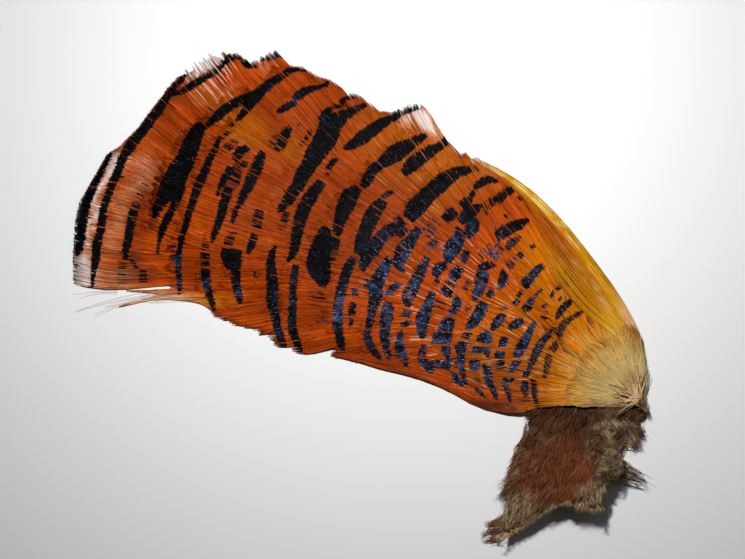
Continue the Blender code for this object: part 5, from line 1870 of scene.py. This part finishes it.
class TippetStageSettings(bpy.types.PropertyGroup):
    """The paper, the camera and the light."""

    floor_size: length_property(3.0, "Floor size", "Side of the paper")
    paper: colour_property((246, 246, 246), "Paper", "The paper's colour")
    aim: place_property((-0.0268, 0.0043, 0.0008), "Aim", "Where the camera points")
    elevation: number_property(math.radians(89.0), "Elevation", "The camera's height", subtype="ANGLE")
    camera_distance: length_property(0.5, "Camera distance", "From the aim to the camera")
    lens: number_property(115.05, "Lens", "Focal length in millimetres")
    key_place: place_property((-0.022, 0.052, 0.17), "Key place", "Where the key light stands")
    key_size: length_property(0.012, "Key size", "Side of the key light")
    key_power: number_property(0.355, "Key power", "In watts")
    fill_place: place_property((0.1, 0.06, 0.2), "Fill place", "Where the fill light stands")
    fill_size: length_property(0.12, "Fill size", "Side of the fill light")
    fill_power: number_property(0.018, "Fill power", "In watts")
    surround: number_property(0.02, "Surround", "Strength of the pale surround")


class MakeTippets(bpy.types.Operator):
    """Dresses every tippet feather in barbs"""

    bl_idname = "tippet.make_tippets"
    bl_label = "Tippet feathers"

    def execute(self, context):
        settings = context.scene.tippet_feathers
        finish = tippet_finish(settings)
        for index in range(len(TIPPETS)):
            add_tippet(index, settings, finish)
        add_mantle(settings, finish)
        for number in range(len(EDGE_BANDS)):
            add_edge_barbs(number, settings, finish)
        add_stray_barbs(finish)
        return {"FINISHED"}


class MakeCrest(bpy.types.Operator):
    """Makes the crest's long golden strands"""

    bl_idname = "tippet.make_crest"
    bl_label = "Crest feathers"

    def execute(self, context):
        settings = context.scene.tippet_down
        finish = crest_finish(settings)
        for index in range(len(CREST_BANDS)):
            add_crest_feather(index, settings, finish)
        return {"FINISHED"}


class MakeCrown(bpy.types.Operator):
    """Makes the crown's soft cream barbs"""

    bl_idname = "tippet.make_crown"
    bl_label = "Crown feathers"

    def execute(self, context):
        settings = context.scene.tippet_down
        finish = crown_finish(settings)
        for index in range(len(CROWN_FEATHERS)):
            add_crown_feather(index, finish)
        add_crown_tuft(settings, finish)
        add_quills(finish)
        return {"FINISHED"}


class MakeFace(bpy.types.Operator):
    """Makes the skin and the brown face feathers on its flap"""

    bl_idname = "tippet.make_face"
    bl_label = "Skin and face"

    def execute(self, context):
        settings = context.scene.tippet_down
        add_skin(settings, skin_finish(settings))
        finish = face_finish(settings)
        add_face_down(settings, finish)
        add_face_locks(finish)
        add_cut_edge(crown_finish(settings))
        return {"FINISHED"}


class MakeStage(bpy.types.Operator):
    """Lays the paper and sets the camera and the light"""

    bl_idname = "tippet.make_stage"
    bl_label = "Paper, camera and light"

    def execute(self, context):
        settings = context.scene.tippet_stage
        add_floor(settings)
        add_camera(settings)
        add_light(settings)
        context.scene.view_settings.view_transform = "Standard"
        return {"FINISHED"}


OPERATORS = (MakeTippets, MakeCrest, MakeCrown, MakeFace, MakeStage)
SETTINGS = {
    "tippet_feathers": TippetFeatherSettings,
    "tippet_down": TippetDownSettings,
    "tippet_stage": TippetStageSettings,
}


class TIPPET_PT_panel(bpy.types.Panel):
    """Lists the steps that make the tippet"""

    bl_label = "Golden pheasant tippet"
    bl_idname = "TIPPET_PT_panel"
    bl_space_type = "VIEW_3D"
    bl_region_type = "UI"
    bl_category = "Tippet"

    def draw(self, context):
        for step in OPERATORS:
            self.layout.operator(step.bl_idname)


def register():
    for name, group in SETTINGS.items():
        bpy.utils.register_class(group)
        setattr(bpy.types.Scene, name, bpy.props.PointerProperty(type=group))
    for kind in (*OPERATORS, TIPPET_PT_panel):
        bpy.utils.register_class(kind)


def unregister():
    for kind in (TIPPET_PT_panel, *reversed(OPERATORS)):
        bpy.utils.unregister_class(kind)
    for name, group in SETTINGS.items():
        delattr(bpy.types.Scene, name)
        bpy.utils.unregister_class(group)


def main():
    register()
    bpy.ops.tippet.make_tippets()
    bpy.ops.tippet.make_crest()
    bpy.ops.tippet.make_crown()
    bpy.ops.tippet.make_face()
    bpy.ops.tippet.make_stage()


if __name__ == "__main__":
    main()
